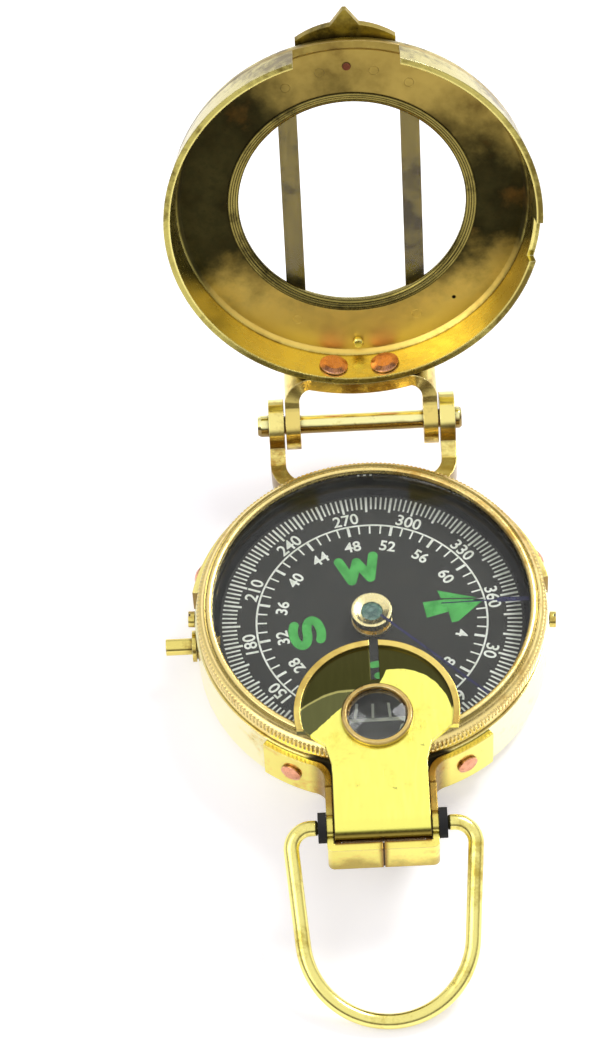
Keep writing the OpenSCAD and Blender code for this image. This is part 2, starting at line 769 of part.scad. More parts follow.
// Outer surface of the lid as a revolve outline, from its axis
module lid_outline() {
    polygon([
        [0, lid_rim_z],
        [lid_r, lid_rim_z],
        [lid_shoulder_r, lid_shoulder_z],
        [lid_shoulder_r - lid_edge_r, lid_top_z],
        [0, lid_top_z],
    ]);
    translate([lid_shoulder_r - lid_edge_r, lid_shoulder_z]) circle(lid_edge_r);
}

// Spun lid: a leaning wall, a flat plate with the stepped window, the stem gap and the notch
module lid_shell() {
    face_r = lid_r - lid_wall - lid_inset * lid_depth / (lid_shoulder_z - lid_rim_z);
    fillet = 0.7;
    gap_deep = 6;
    gap_floor = 0.5;
    notch_deep = 5;
    color("darkkhaki") opened() difference() {
        rotate_extrude() difference() {
            lid_outline();
            polygon([
                [0, lid_rim_z - over],
                [lid_r - lid_wall, lid_rim_z - over],
                [lid_r - lid_wall, lid_rim_z],
                [face_r + 0.1, lid_face_z - fillet],
                [face_r - fillet, lid_face_z],
                [window_seat_r, lid_face_z],
                [window_seat_r, window_glass_z + window_glass_t],
                [window_hole_r, window_glass_z + window_glass_t],
                [window_hole_r, lid_top_z + over],
                [0, lid_top_z + over],
            ]);
        }
        translate([-lid_gap_w / 2, -lid_r - over, lid_rim_z - over])
            cube([lid_gap_w, gap_deep, over + lid_depth - gap_floor]);
        translate([lid_r - notch_deep, side_notch_y - side_notch_w / 2, lid_rim_z - over])
            cube([notch_deep + over, side_notch_w, over + side_notch_h]);
        for (side = [-1, 1]) {
            at_lid_rivet(side) translate([0, 0, -3 * over]) cylinder(d = lid_rivet_d + 2 * seat, h = 6 * over);
            for (end = [-1, 1])
                translate([side * guard_pitch / 2, end * guard_rivet_y, lid_face_z - over])
                    cylinder(d = guard_rivet_d + 2 * seat, h = lid_plate_t + 2 * over);
            translate([side * tab_rivet_x, tab_rivet_y, lid_face_z - over])
                cylinder(d = guard_rivet_d + 2 * seat, h = lid_plate_t + 2 * over);
        }
        for (y = [stud_y, sight_pin_y])
            translate([0, y, lid_face_z - over]) cylinder(d = sight_pin_d + 2 * seat, h = sight_hole_h + over);
    }
}

// Places a child on the outer face of the lid wall behind the window, square to the leaning wall
module at_lid_rivet(side) {
    r = lid_r - (lid_rivet_z - lid_rim_z) * tan(lid_lean);
    rotate([0, 0, 90 + side * lid_rivet_angle]) translate([r, 0, lid_rivet_z]) rotate([0, 90 - lid_lean, 0])
        children();
}

// Window glass, seated from the inside
module lid_glass() {
    color("lightcyan", 0.3) opened() translate([0, 0, window_glass_z])
        cylinder(r = window_seat_r - seat, h = window_glass_t - seat);
}

// Stepped ring that holds the window glass
module lid_glass_ring() {
    out_r = window_seat_r - seat;
    bevel_h = 0.4;
    step_a = 0.5;
    step_b = 0.9;
    step_c = 1.1;
    color("darkgoldenrod") opened() rotate_extrude() polygon([
        [window_r, window_glass_z - seat],
        [window_r, window_glass_z - bevel_h],
        [window_r + step_a, lid_face_z],
        [window_r + step_b, lid_face_z],
        [window_r + step_c, lid_face_z - ring_lip],
        [out_r, lid_face_z - ring_lip],
        [out_r, window_glass_z - seat],
    ]);
}

// Flat bar across the outside of the window, with rounded ends
module guard_bar(x) {
    color(BRASS) opened() difference() {
        translate([x, 0, lid_top_z + seat]) union() {
            translate([-guard_w / 2, -guard_l / 2 + guard_w / 2, 0])
                cube([guard_w, guard_l - guard_w, guard_t]);
            for (end = [-1, 1])
                translate([0, end * (guard_l - guard_w) / 2, 0]) cylinder(d = guard_w, h = guard_t);
        }
        for (end = [-1, 1])
            translate([x, end * guard_rivet_y, lid_top_z - over])
                cylinder(d = guard_rivet_d + 2 * seat, h = guard_t + 2 * over);
    }
}

module guard_bar_left() {
    guard_bar(-guard_pitch / 2);
}

module guard_bar_right() {
    guard_bar(guard_pitch / 2);
}

// Rivets through the guard bars and the lid plate, flush inside
module guard_rivets() {
    color(BRASS) opened() for (side = [-1, 1], end = [-1, 1])
        translate([side * guard_pitch / 2, end * guard_rivet_y, lid_face_z]) {
            cylinder(d = guard_rivet_d, h = lid_plate_t + guard_t);
            translate([0, 0, lid_plate_t + guard_t + 2 * seat]) rivet_head(guard_rivet_head_d, 0.6);
            translate([0, 0, lid_plate_t + guard_t - seat]) cylinder(d = guard_rivet_d, h = 0.2);
        }
}

// Plate on the outside of the lid: a rounded end with a pointed nose past the edge
module thumb_tab() {
    nose_w = 5.2;
    nose_tip_w = 0.6;
    nose_lap = 0.4;
    nose_y = -tab_reach + nose_lap;
    color(BRASS) opened() difference() {
        translate([0, 0, lid_top_z + seat]) linear_extrude(tab_t) union() {
            intersection() {
                translate([0, tab_end_r - tab_reach]) circle(tab_end_r);
                translate([-tab_w / 2, -2 * tab_reach]) square([tab_w, 2 * tab_reach + tab_back_y]);
            }
            polygon([
                [-nose_w / 2, nose_y],
                [-nose_tip_w / 2, -tab_reach - tab_nose_l],
                [nose_tip_w / 2, -tab_reach - tab_nose_l],
                [nose_w / 2, nose_y],
            ]);
        }
        for (side = [-1, 1])
            translate([side * tab_rivet_x, tab_rivet_y, lid_top_z - over])
                cylinder(d = guard_rivet_d + 2 * seat, h = tab_t + 2 * over);
    }
}

// Rivets through the thumb tab and the lid plate
module tab_rivets() {
    color(BRASS) opened() for (side = [-1, 1])
        translate([side * tab_rivet_x, tab_rivet_y, lid_face_z]) {
            cylinder(d = guard_rivet_d, h = lid_plate_t + tab_t + 2 * seat);
            translate([0, 0, lid_plate_t + tab_t + 2 * seat]) rivet_head(guard_rivet_head_d, 0.6);
        }
}

// Turned stud on the centre line behind the window
module sight_stud() {
    edge = 0.25;
    color(BRASS) opened() translate([0, stud_y, lid_face_z - stud_h]) {
        cylinder(d1 = stud_d - 2 * edge, d2 = stud_d, h = edge);
        translate([0, 0, edge]) cylinder(d = stud_d, h = stud_h - edge - seat);
        cylinder(d = sight_pin_d, h = stud_h + sight_hole_h - hole_floor_gap);
    }
}

// Small copper pin on the centre line in front of the window
module sight_pin() {
    color(COPPER) opened() translate([0, sight_pin_y, lid_face_z - sight_pin_h])
        cylinder(d = sight_pin_d, h = sight_pin_h + sight_hole_h - hole_floor_gap);
}

// One eye of the lid bracket in side view, with its neck up to the base on the lid wall
module lid_eye_profile() {
    back_y = lid_r - 2;
    off_edge = 0.3;
    neck_out = 2.6;
    polygon([
        [back_y, lid_rim_z + off_edge],
        [hinge_y - lid_eye_r * 0.6, hinge_z - lid_eye_r * 0.6],
        [hinge_y + lid_eye_r * 0.6, hinge_z + lid_eye_r * 0.75],
        [lid_r + neck_out, lid_rim_z + base_h - off_edge],
        [back_y, lid_rim_z + base_h - off_edge],
    ]);
    translate([hinge_y, hinge_z]) circle(lid_eye_r);
}

// Bracket on the outside of the lid wall: a bent base with the two lid eyes
module lid_bracket() {
    slope = tan(lid_lean);
    base_half_w = (lid_bracket_w - lid_eye_t) / 2;
    top_z = lid_rim_z + base_h;
    color(PALE_BRASS) opened() difference() {
        union() {
            intersection() {
                rotate_extrude() polygon([
                    [0, lid_rim_z],
                    [lid_r + base_t, lid_rim_z],
                    [lid_r + base_t - base_h * slope, top_z],
                    [0, top_z],
                ]);
                translate([-base_half_w, lid_r / 2, lid_rim_z - over])
                    cube([2 * base_half_w, lid_r, base_h + 2 * over]);
            }
            for (side = [-1, 1])
                across(side * (lid_eye_x + lid_eye_t / 2), lid_eye_t) lid_eye_profile();
        }
        rotate_extrude() polygon([
            [0, lid_rim_z - 2 * over],
            [lid_r + seat + 2 * over * slope, lid_rim_z - 2 * over],
            [lid_r + seat - (base_h + 2 * over) * slope, top_z + 2 * over],
            [0, top_z + 2 * over],
        ]);
        for (side = [-1, 1])
            at_lid_rivet(side) translate([0, 0, -over])
                cylinder(d = lid_rivet_d + 2 * seat, h = base_t + 4 * over);
        translate([-lid_bracket_w, hinge_y, hinge_z]) rotate([0, 90, 0])
            cylinder(d = hinge_pin_d + 2 * running, h = 2 * lid_bracket_w);
    }
}

// Copper rivets through the lid wall and the bracket, with broad heads inside the lid
module lid_rivets() {
    head_t = 0.6;
    curve_gap = 0.15;
    outer_gap = 0.05;
    color(COPPER) opened() for (side = [-1, 1]) at_lid_rivet(side) {
        translate([0, 0, -lid_wall - head_t / 2 - rivet_lap])
            cylinder(d = lid_rivet_d, h = lid_wall + base_t + head_t + 2 * rivet_lap);
        translate([0, 0, -lid_wall - curve_gap]) rotate([180, 0, 0]) rivet_head(lid_rivet_head_d, head_t);
        translate([0, 0, base_t + outer_gap]) rivet_head(rivet_head_d, rivet_head_t);
    }
}

// Half of the front bracket seen from above, on the right: arm, bend, cheek and folded front
module bracket_outline() {
    far = 2 * arm_out_r;
    corner_y = front_out_y + bracket_t;
    lap = 0.1;
    intersection() {
        difference() {
            circle(arm_out_r);
            circle(arm_in_r);
        }
        polygon([
            [0, 0],
            [far * sin(arm_end_angle), -far * cos(arm_end_angle)],
            [bend_x, bend_y],
        ]);
    }
    intersection() {
        translate([bend_x, bend_y]) difference() {
            circle(bend_r + bracket_t);
            circle(bend_r);
        }
        polygon([
            [bend_x, bend_y],
            [bend_lap_far, 0],
            [0, 0],
            [0, bend_y],
        ]);
    }
    polygon([
        [seam / 2, front_out_y],
        [cheek_in_x, front_out_y],
        [cheek_in_x, corner_y],
        [cheek_out_x, corner_y],
        [cheek_out_x, bend_y + bend_lap],
        [cheek_in_x, bend_y + bend_lap],
        [cheek_in_x, front_in_y],
        [seam / 2, front_in_y],
    ]);
    translate([cheek_in_x, corner_y]) intersection() {
        circle(bracket_t);
        translate([-bracket_t / 2, -bracket_t]) square([1.5 * bracket_t, bracket_t + lap]);
    }
}

// Height of the bracket along the case, in side view: low arms and a raised front
module bracket_side() {
    low_back = 1;
    low_front = 1.5;
    polygon([
        [front_out_y - over, front_low_z],
        [front_out_y - over, front_top_z],
        [cheek_rise_y - cheek_rise_run, front_top_z],
        [cheek_rise_y, arm_top_z],
        [0, arm_top_z],
        [0, arm_low_z],
        [-case_r + low_back, arm_low_z],
        [pivot_y + low_front, front_low_z],
    ]);
}

// Right half of the bracket, with the pivot bore and the rivet hole
module bracket_half() {
    difference() {
        intersection() {
            linear_extrude(2 * case_h) bracket_outline();
            across(case_r / 2, case_r) bracket_side();
        }
        on_ray(-90 + arm_rivet_angle, case_r - over, arm_rivet_z)
            cylinder(d = rivet_d + 2 * seat, h = bracket_t + 2 * over);
        translate([0, pivot_y, pivot_z]) rotate([0, 90, 0])
            cylinder(d = spigot_d + 2 * running, h = cheek_out_x + over);
    }
}

module bracket_left() {
    color(PALE_BRASS) mirror([1, 0, 0]) bracket_half();
}

module bracket_right() {
    color(PALE_BRASS) bracket_half();
}

// Copper rivets through the bracket arms and the case wall
module bracket_rivets() {
    color(COPPER) for (side = [-1, 1])
        on_ray(-90 + side * arm_rivet_angle, case_in_r + seat, arm_rivet_z) {
            cylinder(d = rivet_d, h = case_wall + bracket_t + rivet_lap);
            translate([0, 0, case_wall + bracket_t + seat]) rivet_head(rivet_head_d, rivet_head_t);
        }
}

// Outline of the folding plate: a round head, sloping shoulders and a straight stem
module plate_outline() {
    intersection() {
        translate([0, plate_y]) circle(plate_r);
        translate([-plate_r - over, shoulder_y]) square([2 * (plate_r + over), 2 * plate_r]);
    }
    polygon([
        [-shoulder_x, shoulder_y + shoulder_lap],
        [-knee_x, knee_y],
        [-stem_w / 2, shoulder_y - shoulder_l],
        [-stem_w / 2, pivot_y],
        [stem_w / 2, pivot_y],
        [stem_w / 2, shoulder_y - shoulder_l],
        [knee_x, knee_y],
        [shoulder_x, shoulder_y + shoulder_lap],
    ]);
}

// Eyepiece plate with its raised rim, sighting slot, side flanges and rounded tail
module eyepiece_plate() {
    rim_lap = 0.1;
    flange_drop = 0.2;
    color("yellow") difference() {
        union() {
            translate([0, 0, plate_z]) linear_extrude(plate_t) plate_outline();
            translate([0, 0, plate_top_z - rim_lap]) linear_extrude(plate_rim_h + rim_lap) intersection() {
                difference() {
                    translate([0, plate_y]) circle(plate_r);
                    translate([0, plate_y]) circle(plate_r - plate_rim_w);
                }
                translate([-plate_r - over, shoulder_y]) square([2 * (plate_r + over), 2 * plate_r]);
            }
            for (side = [-1, 1])
                across(side * (stem_w / 2 - flange_t / 2), flange_t) union() {
                    translate([pivot_y, pivot_z]) circle(knuckle_r);
                    polygon([
                        [pivot_y, pivot_z - knuckle_r],
                        [pivot_y + knuckle_r + 1, pivot_z],
                        [pivot_y + flange_l, plate_z - flange_drop],
                        [pivot_y + flange_l, plate_top_z - flange_drop],
                        [pivot_y, plate_top_z],
                    ]);
                }
            across(0, stem_w) intersection() {
                translate([pivot_y, pivot_z]) difference() {
                    circle(knuckle_r);
                    circle(knuckle_r - plate_t);
                }
                translate([pivot_y - knuckle_r - over, pivot_z]) square(knuckle_r + over);
            }
        }
        translate([-slot_w / 2, plate_y + plate_r - slot_l, plate_z - over])
            cube([slot_w, slot_l + over, 4 * over]);
        translate([0, lens_y, plate_z - over]) cylinder(d = cell_d - 2 * cell_lip, h = 4 * over);
        translate([-stem_w, pivot_y, pivot_z]) rotate([0, 90, 0])
            cylinder(d = spigot_d + 2 * running, h = 2 * stem_w);
    }
}

// Turned cell round the lens, seated in the plate
module lens_cell() {
    seat_r = cell_d / 2 - cell_lip - seat;
    lens_r = lens_d / 2;
    color(BRASS) translate([0, lens_y, 0]) rotate_extrude() polygon([
        [lens_r - cell_step, plate_z],
        [seat_r, plate_z],
        [seat_r, plate_top_z + seat],
        [cell_d / 2, plate_top_z + seat],
        [cell_d / 2, cell_top_z - 0.3],
        [cell_d / 2 - 0.3, cell_top_z],
        [lens_r + 0.2, cell_top_z],
        [lens_r + seat, cell_top_z - 0.4],
        [lens_r + seat, plate_z + cell_floor_t],
        [lens_r - cell_step, plate_z + cell_floor_t],
    ]);
}

// Magnifying lens: flat below, domed above
module eyepiece_lens() {
    lens_r = lens_d / 2;
    edge_sink = 0.5;
    from_z = plate_z + cell_floor_t + seat;
    edge_t = cell_top_z - edge_sink - from_z;
    dome_r = (lens_r * lens_r + lens_rise * lens_rise) / (2 * lens_rise);
    color("lightcyan", 0.4) translate([0, lens_y, from_z]) intersection() {
        cylinder(r = lens_r, h = edge_t + lens_rise);
        translate([0, 0, edge_t + lens_rise - dome_r]) sphere(dome_r);
    }
}

// Black washers between the ring and the cheeks
module ring_washers() {
    color("black") for (side = [-1, 1])
        translate([side * (washer_in_x + washer_t / 2), pivot_y, pivot_z]) rotate([0, 90, 0]) difference() {
            translate([0, 0, -washer_t / 2]) cylinder(d = washer_d, h = washer_t);
            translate([0, 0, -over]) cylinder(d = spigot_d + 2 * running, h = 2 * over);
        }
}

// Half of the bent wire ring, lying along -Y from its pivot, on the right
module ring_half() {
    wire_r = ring_wire_d / 2;
    bend_wire_r = wire_r - 0.01;
    lap = 0.1;
    start_x = washer_out_x + running;
    outward = [cos(leg_turn), -sin(leg_turn)];
    leg_from = [shoulder_cx, -ring_shoulder_r] + ring_shoulder_r * outward;
    leg_to = [0, -end_cy] + ring_end_r * outward;
    leg_vector = leg_to - leg_from;
    translate([spigot_end_x, 0, 0]) rotate([0, 90, 0]) cylinder(d = spigot_d, h = start_x - spigot_end_x + lap);
    translate([start_x, 0, 0]) rotate([0, 90, 0]) cylinder(r = wire_r, h = shoulder_cx - start_x + lap);
    translate([shoulder_cx, -ring_shoulder_r, 0]) rotate([0, 0, -leg_turn])
        rotate_extrude(angle = 90 + leg_turn) translate([ring_shoulder_r, 0]) circle(bend_wire_r);
    translate([leg_from.x, leg_from.y, 0]) rotate([0, 0, atan2(leg_vector.y, leg_vector.x)]) rotate([0, 90, 0])
        translate([0, 0, -lap]) cylinder(r = wire_r, h = norm(leg_vector) + 2 * lap);
    translate([0, -end_cy, 0]) rotate([0, 0, -90])
        rotate_extrude(angle = 90 - leg_turn) translate([ring_end_r, 0]) circle(bend_wire_r);
}

// Thumb ring, bent from one wire whose thin ends pass through the cheeks and the eyepiece
module thumb_ring() {
    color(BRASS) translate([0, pivot_y, pivot_z]) rotate([ring_tilt, 0, 0]) {
        ring_half();
        mirror([1, 0, 0]) ring_half();
    }
}

case_cup();
pivot_post();
pivot_needle();
lever_bracket();
lever_pin();
brake_lever();
plunger_bush();
plunger();
plunger_spring();
bezel_ring();
dial_glass();
glass_retainer();
bezel_screws();
card_disc();
card_hub();
hub_jewel();
card_magnets();
hinge_strap();
strap_rivets();
hinge_pin();
lid_shell();
lid_glass();
lid_glass_ring();
guard_bar_left();
guard_bar_right();
guard_rivets();
thumb_tab();
tab_rivets();
sight_stud();
sight_pin();
lid_bracket();
lid_rivets();
bracket_left();
bracket_right();
bracket_rivets();
eyepiece_plate();
lens_cell();
eyepiece_lens();
ring_washers();
thumb_ring();
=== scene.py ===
import math

import bpy
import numpy as np
from mathutils import Matrix, Vector


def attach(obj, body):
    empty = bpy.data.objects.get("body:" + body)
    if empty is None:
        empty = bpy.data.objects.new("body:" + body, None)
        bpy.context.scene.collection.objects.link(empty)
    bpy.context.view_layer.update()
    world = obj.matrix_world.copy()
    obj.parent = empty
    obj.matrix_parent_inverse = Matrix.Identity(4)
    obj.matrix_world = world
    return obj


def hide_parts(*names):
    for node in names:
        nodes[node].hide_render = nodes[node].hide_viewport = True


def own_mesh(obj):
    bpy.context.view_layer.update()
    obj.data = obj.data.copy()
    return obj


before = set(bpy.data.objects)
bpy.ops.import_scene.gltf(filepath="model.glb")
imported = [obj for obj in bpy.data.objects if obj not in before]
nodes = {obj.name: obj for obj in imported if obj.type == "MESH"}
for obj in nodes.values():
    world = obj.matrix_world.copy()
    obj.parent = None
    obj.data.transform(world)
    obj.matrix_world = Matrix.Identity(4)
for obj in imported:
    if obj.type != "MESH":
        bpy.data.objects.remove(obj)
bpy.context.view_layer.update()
MM = 0.001


# Table, light and camera
# The open compass stands on a white table, seen from above its eyepiece. Two large soft
# lamps light it, and the white room round it shows in the metal, darker behind the viewer.

def link(obj):
    """Puts an object into the scene."""
    bpy.context.scene.collection.objects.link(obj)
    return obj


def camera_at(place, forward, right, roll, lens):
    """Camera at a place in mm, turned about its line of sight by roll degrees."""
    forward = Vector(forward).normalized()
    right = Vector(right).normalized()
    upward = right.cross(forward)
    turn = math.radians(roll)
    across = math.cos(turn) * right - math.sin(turn) * upward
    upward = math.sin(turn) * right + math.cos(turn) * upward
    camera = link(bpy.data.objects.new("camera", bpy.data.cameras.new("camera")))
    camera.data.lens = lens
    camera.data.sensor_width = 36.0
    camera.data.clip_start = 0.01
    camera.data.clip_end = 20.0
    camera.matrix_world = Matrix((
        (across.x, upward.x, -forward.x, place[0] * MM),
        (across.y, upward.y, -forward.y, place[1] * MM),
        (across.z, upward.z, -forward.z, place[2] * MM),
        (0, 0, 0, 1)))
    bpy.context.scene.camera = camera
    bpy.context.scene.view_settings.view_transform = "Standard"


def lamp(name, place, size, power, colour):
    """Square soft lamp at a place in metres, facing the compass."""
    light = bpy.data.lights.new(name, "AREA")
    light.size = size
    light.energy = power
    light.color = colour
    made = link(bpy.data.objects.new(name, light))
    made.location = place
    made.rotation_euler = (Vector((0, 0, 0.02)) - Vector(place)).to_track_quat("-Z", "Y").to_euler()


def add(tree, kind, inputs=None, out=0, **options):
    """Adds a shader node, sets or links its inputs, and returns one of its outputs."""
    made = tree.nodes.new("ShaderNode" + kind)
    for name, value in options.items():
        setattr(made, name, value)
    for name, value in (inputs or {}).items():
        if isinstance(value, bpy.types.NodeSocket):
            tree.links.new(value, made.inputs[name])
        else:
            made.inputs[name].default_value = value
    return made.outputs[out] if len(made.outputs) else None


def maths(tree, operation, first, second=0.0):
    """One step of arithmetic on two values."""
    return add(tree, "Math", {0: first, 1: second}, operation=operation)


def combined(tree, operation, values):
    """One value out of several, by one operation after another."""
    made = values[0]
    for value in values[1:]:
        made = maths(tree, operation, made, value)
    return made


def times(tree, *values):
    """Product of values."""
    return combined(tree, "MULTIPLY", values)


def plus(tree, *values):
    """Sum of values."""
    return combined(tree, "ADD", values)


def most(tree, *values):
    """Largest of values."""
    return combined(tree, "MAXIMUM", values)


def any_ray(tree, *kinds):
    """One where the ray is of one of the kinds, else nought."""
    return most(tree, *[add(tree, "LightPath", out="Is %s Ray" % kind) for kind in kinds])


def split(tree, vector):
    """The three parts of a vector."""
    made = tree.nodes.new("ShaderNodeSeparateXYZ")
    tree.links.new(vector, made.inputs[0])
    return made.outputs


def from_axis(tree, spot, middle=(0, 0, 0)):
    """Distance of a spot from the upright axis through middle."""
    flat = add(tree, "VectorMath", {0: spot, 1: (1, 1, 0)}, operation="MULTIPLY")
    return add(tree, "VectorMath", {0: flat, 1: middle}, out="Value", operation="DISTANCE")


def waver(tree, noise, height):
    """Noise about zero, times a height."""
    return times(tree, maths(tree, "SUBTRACT", noise, 0.5), height)


def ramp(tree, value, low, high, start=0.0, end=1.0):
    """Smooth step of a value: start below low, end above high."""
    return add(tree, "MapRange", {"Value": value, "From Min": low, "From Max": high,
                                  "To Min": start, "To Max": end}, interpolation_type="SMOOTHSTEP")


def fall(tree, value, low, high):
    """Smooth step down, from one to nought."""
    return ramp(tree, value, low, high, 1.0, 0.0)


def between(tree, value, low, rise_end, fall_start, high):
    """Smooth band: nought up to low, one from rise_end to fall_start, nought from high."""
    return times(tree, ramp(tree, value, low, rise_end), fall(tree, value, fall_start, high))


def mixed(tree, share, first, second):
    """Colour between two colours, by share."""
    return add(tree, "MixRGB", {"Fac": share, "Color1": first, "Color2": second})


def shade(red, green, blue):
    """Linear colour of a shade given from 0 to 255: the standard display curve undone."""
    parts = np.array((red, green, blue)) / 255.0
    linear = np.where(parts > 0.04045, ((parts + 0.055) / 1.055) ** 2.4, parts / 12.92)
    return (*[float(v) for v in linear], 1.0)


def material_tree(name):
    """New material, its node tree and the spot on the piece that is shaded."""
    material = bpy.data.materials.new(name)
    material.use_nodes = True
    tree = material.node_tree
    tree.nodes.clear()
    return material, tree, add(tree, "TexCoord", out="Object")


def skin(tree, inputs):
    """Ends a material in one principled surface."""
    add(tree, "OutputMaterial", {"Surface": add(tree, "BsdfPrincipled", inputs)})


camera_at((-4.2, -346.9, 545.4), (-0.01207, 0.56667, -0.8239), (0.99977, 0.02129, 0.0), 3.7, 126.19)
lamp("left_lamp", (-0.45, -0.30, 0.60), 0.5, 1.2, (1.0, 0.99, 0.97))
lamp("right_lamp", (0.34, 0.36, 0.55), 0.28, 3.4, (0.99, 0.99, 1.0))

world = bpy.data.worlds.new("white_room")
bpy.context.scene.world = world
world.use_nodes = True
room = world.node_tree
room.nodes.clear()
sight = any_ray(room, "Camera", "Glossy", "Transmission")
toward = split(room, add(room, "TexCoord", out="Generated"))
low_band = between(room, toward["Z"], -0.05, 0.12, 0.30, 0.62)
behind_viewer = ramp(room, toward["Y"], -0.75, 0.1, 1.0, 0.45)
dim = times(room, low_band, behind_viewer, any_ray(room, "Glossy"))
room_white = mixed(room, dim, (1, 1, 1, 1), (0.16, 0.15, 0.13, 1))
dim_light = add(room, "Background", {"Color": (0.96, 0.95, 1.0, 1), "Strength": 0.62})
white_light = add(room, "Background", {"Color": room_white, "Strength": 1.0})
add(room, "OutputWorld", {"Surface": add(room, "MixShader", {0: sight, 1: dim_light, 2: white_light})})

table_mesh = bpy.data.meshes.new("table_top")
table_mesh.from_pydata([(-3, -3, 0), (3, -3, 0), (3, 3, 0), (-3, 3, 0)], [], [(0, 1, 2, 3)])
table_top = link(bpy.data.objects.new("table_top", table_mesh))
paper, tree, spot = material_tree("white_paper")
paper_grain = add(tree, "TexNoise", {"Vector": spot, "Scale": 900.0, "Detail": 3.0})
paper_colour = mixed(tree, paper_grain, (0.83, 0.83, 0.84, 1), (0.88, 0.88, 0.88, 1))
paper_bump = add(tree, "Bump", {"Height": paper_grain, "Strength": 0.1, "Distance": 0.0001})
paper_skin = add(tree, "BsdfPrincipled", {
    "Base Color": paper_colour, "Roughness": 0.7, "Normal": paper_bump, "Specular IOR Level": 0.15})
seen = any_ray(tree, "Camera", "Glossy", "Transmission")
paper_glow = add(tree, "Emission", {"Color": (1.0, 0.96, 1.0, 1), "Strength": times(tree, seen, 0.38)})
add(tree, "OutputMaterial", {"Surface": add(tree, "AddShader", {0: paper_skin, 1: paper_glow})})
table_mesh.materials.append(paper)


# Case
# The cup is spun from brass sheet and polished bright outside, so that it shows the white
# room, with fine rings from the lathe and a dull bloom in patches. Its inside is painted dark
# grey as shade, and its front behind the eyepiece stem dark brown as shade.

def brass(name, clean, dull, patches=0.5, roughness=0.16, rings=0.0, grain=(1400.0, 180.0, 1400.0),
          place=(0.0, (0, 0, 0)), grime_and_shade=0.6, edge=(1.0, 0.93, 0.62, 1), dark=(0.06, 0.035, 0.012, 1),
          seed=0.0, more=None):
    """Aged polished brass. Two sizes of noise mix the clean and the dull colour, thin scratches and lathe
    rings (noise of the distance from Z) go into bump and roughness, rubbed edges are where a rounded
    normal leaves the flat one, and grime with painted shade darkens where little sky is open. place is
    the turn about X and the shift in mm that bring the piece upright. more changes the colour and
    roughness of one piece."""
    material, tree, here = material_tree(name)
    spot = add(tree, "Mapping", {"Vector": here, "Rotation": (place[0], 0, 0),
                                 "Location": [v * MM for v in place[1]]})
    shifted = add(tree, "VectorMath", {0: spot, 1: (seed, seed * 1.7, seed * 0.6)}, operation="ADD")
    broad = add(tree, "TexNoise", {"Vector": shifted, "Scale": 75.0, "Detail": 5.0, "Roughness": 0.62})
    fine = add(tree, "TexNoise", {"Vector": shifted, "Scale": 620.0, "Detail": 4.0, "Roughness": 0.7})
    stretched = add(tree, "VectorMath", {0: shifted, 1: grain}, operation="MULTIPLY")
    scratch = add(tree, "TexNoise", {"Vector": stretched, "Scale": 1.0, "Detail": 3.0, "Roughness": 0.75})
    soft_normal = add(tree, "Bevel", {"Radius": 0.00022}, samples=4)
    flat_normal = add(tree, "NewGeometry", out="Normal")
    same = add(tree, "VectorMath", {0: soft_normal, 1: flat_normal}, out="Value", operation="DOT_PRODUCT")
    rubbed = ramp(tree, maths(tree, "SUBTRACT", 1.0, same), 0.015, 0.16)
    open_sky = add(tree, "AmbientOcclusion", {"Distance": 0.0012}, out="AO", samples=4)
    corner = fall(tree, open_sky, 0.30, 0.86)
    share = ramp(tree, plus(tree, times(tree, broad, 0.72), times(tree, fine, 0.28)),
                 0.64 - 0.28 * patches, 0.80 - 0.28 * patches)
    colour = mixed(tree, share, shade(*clean), shade(*dull))
    specks = ramp(tree, fine, 0.66, 0.74, 0.0, 0.55)
    colour = mixed(tree, specks, colour, dark)
    # Painted shade with grime: darker where little sky is open.
    colour = mixed(tree, times(tree, corner, grime_and_shade), colour, dark)
    colour = mixed(tree, times(tree, rubbed, 0.55), colour, edge)
    rough = plus(tree, ramp(tree, scratch, 0.3, 0.75, roughness * 0.75, roughness * 1.35),
                 times(tree, share, 0.10))
    height = plus(tree, times(tree, scratch, 0.5), times(tree, fine, 0.35))
    if rings:
        reach = from_axis(tree, spot)
        rings_of = add(tree, "TexNoise", {"W": reach, "Scale": 5200.0, "Detail": 2.0}, noise_dimensions="1D")
        height = plus(tree, height, times(tree, rings_of, rings))
        rough = plus(tree, rough, times(tree, rings_of, 0.05 * rings))
    if more:
        colour, rough = more(tree, spot, colour, rough, broad, fine)
    bump = add(tree, "Bump", {"Height": height, "Normal": soft_normal, "Strength": 0.22, "Distance": 0.00003})
    skin(tree, {"Base Color": colour, "Metallic": 1.0, "Roughness": rough, "Normal": bump})
    return material


def dress(names, material):
    """Gives CAD pieces a material."""
    for name in names.split():
        nodes[name].data.materials.clear()
        nodes[name].data.materials.append(material)


def blackened_inside(tree, spot, colour, rough, broad, fine):
    """Painted shade: the inside of the cup dark grey, by distance from the axis and height over the floor,
    and its front behind the eyepiece stem dark brown, between the stem and the bracket arms."""
    reach = from_axis(tree, spot)
    x, y, z = split(tree, spot)
    # Painted shade of the deep gap round the card: the inside of the cup dark grey.
    shaded_inside = times(tree, fall(tree, reach, 0.0292, 0.0295), ramp(tree, z, 0.0012, 0.0015))
    overlay = mixed(tree, broad, shade(46, 47, 43), shade(62, 62, 55))
    colour = mixed(tree, shaded_inside, colour, overlay)
    # Painted shade behind the eyepiece stem, where the stem and bracket arms close it in.
    behind_stem = times(tree, fall(tree, maths(tree, "ABSOLUTE", x), 0.0112, 0.0136),
                        fall(tree, y, -0.0282, -0.0274))
    painted_shade_and_dirt = mixed(tree, fine, shade(30, 22, 10), shade(64, 48, 22))
    colour = mixed(tree, times(tree, behind_stem, 0.95), colour, painted_shade_and_dirt)
    return colour, plus(tree, rough, times(tree, most(tree, shaded_inside, behind_stem), 0.55))


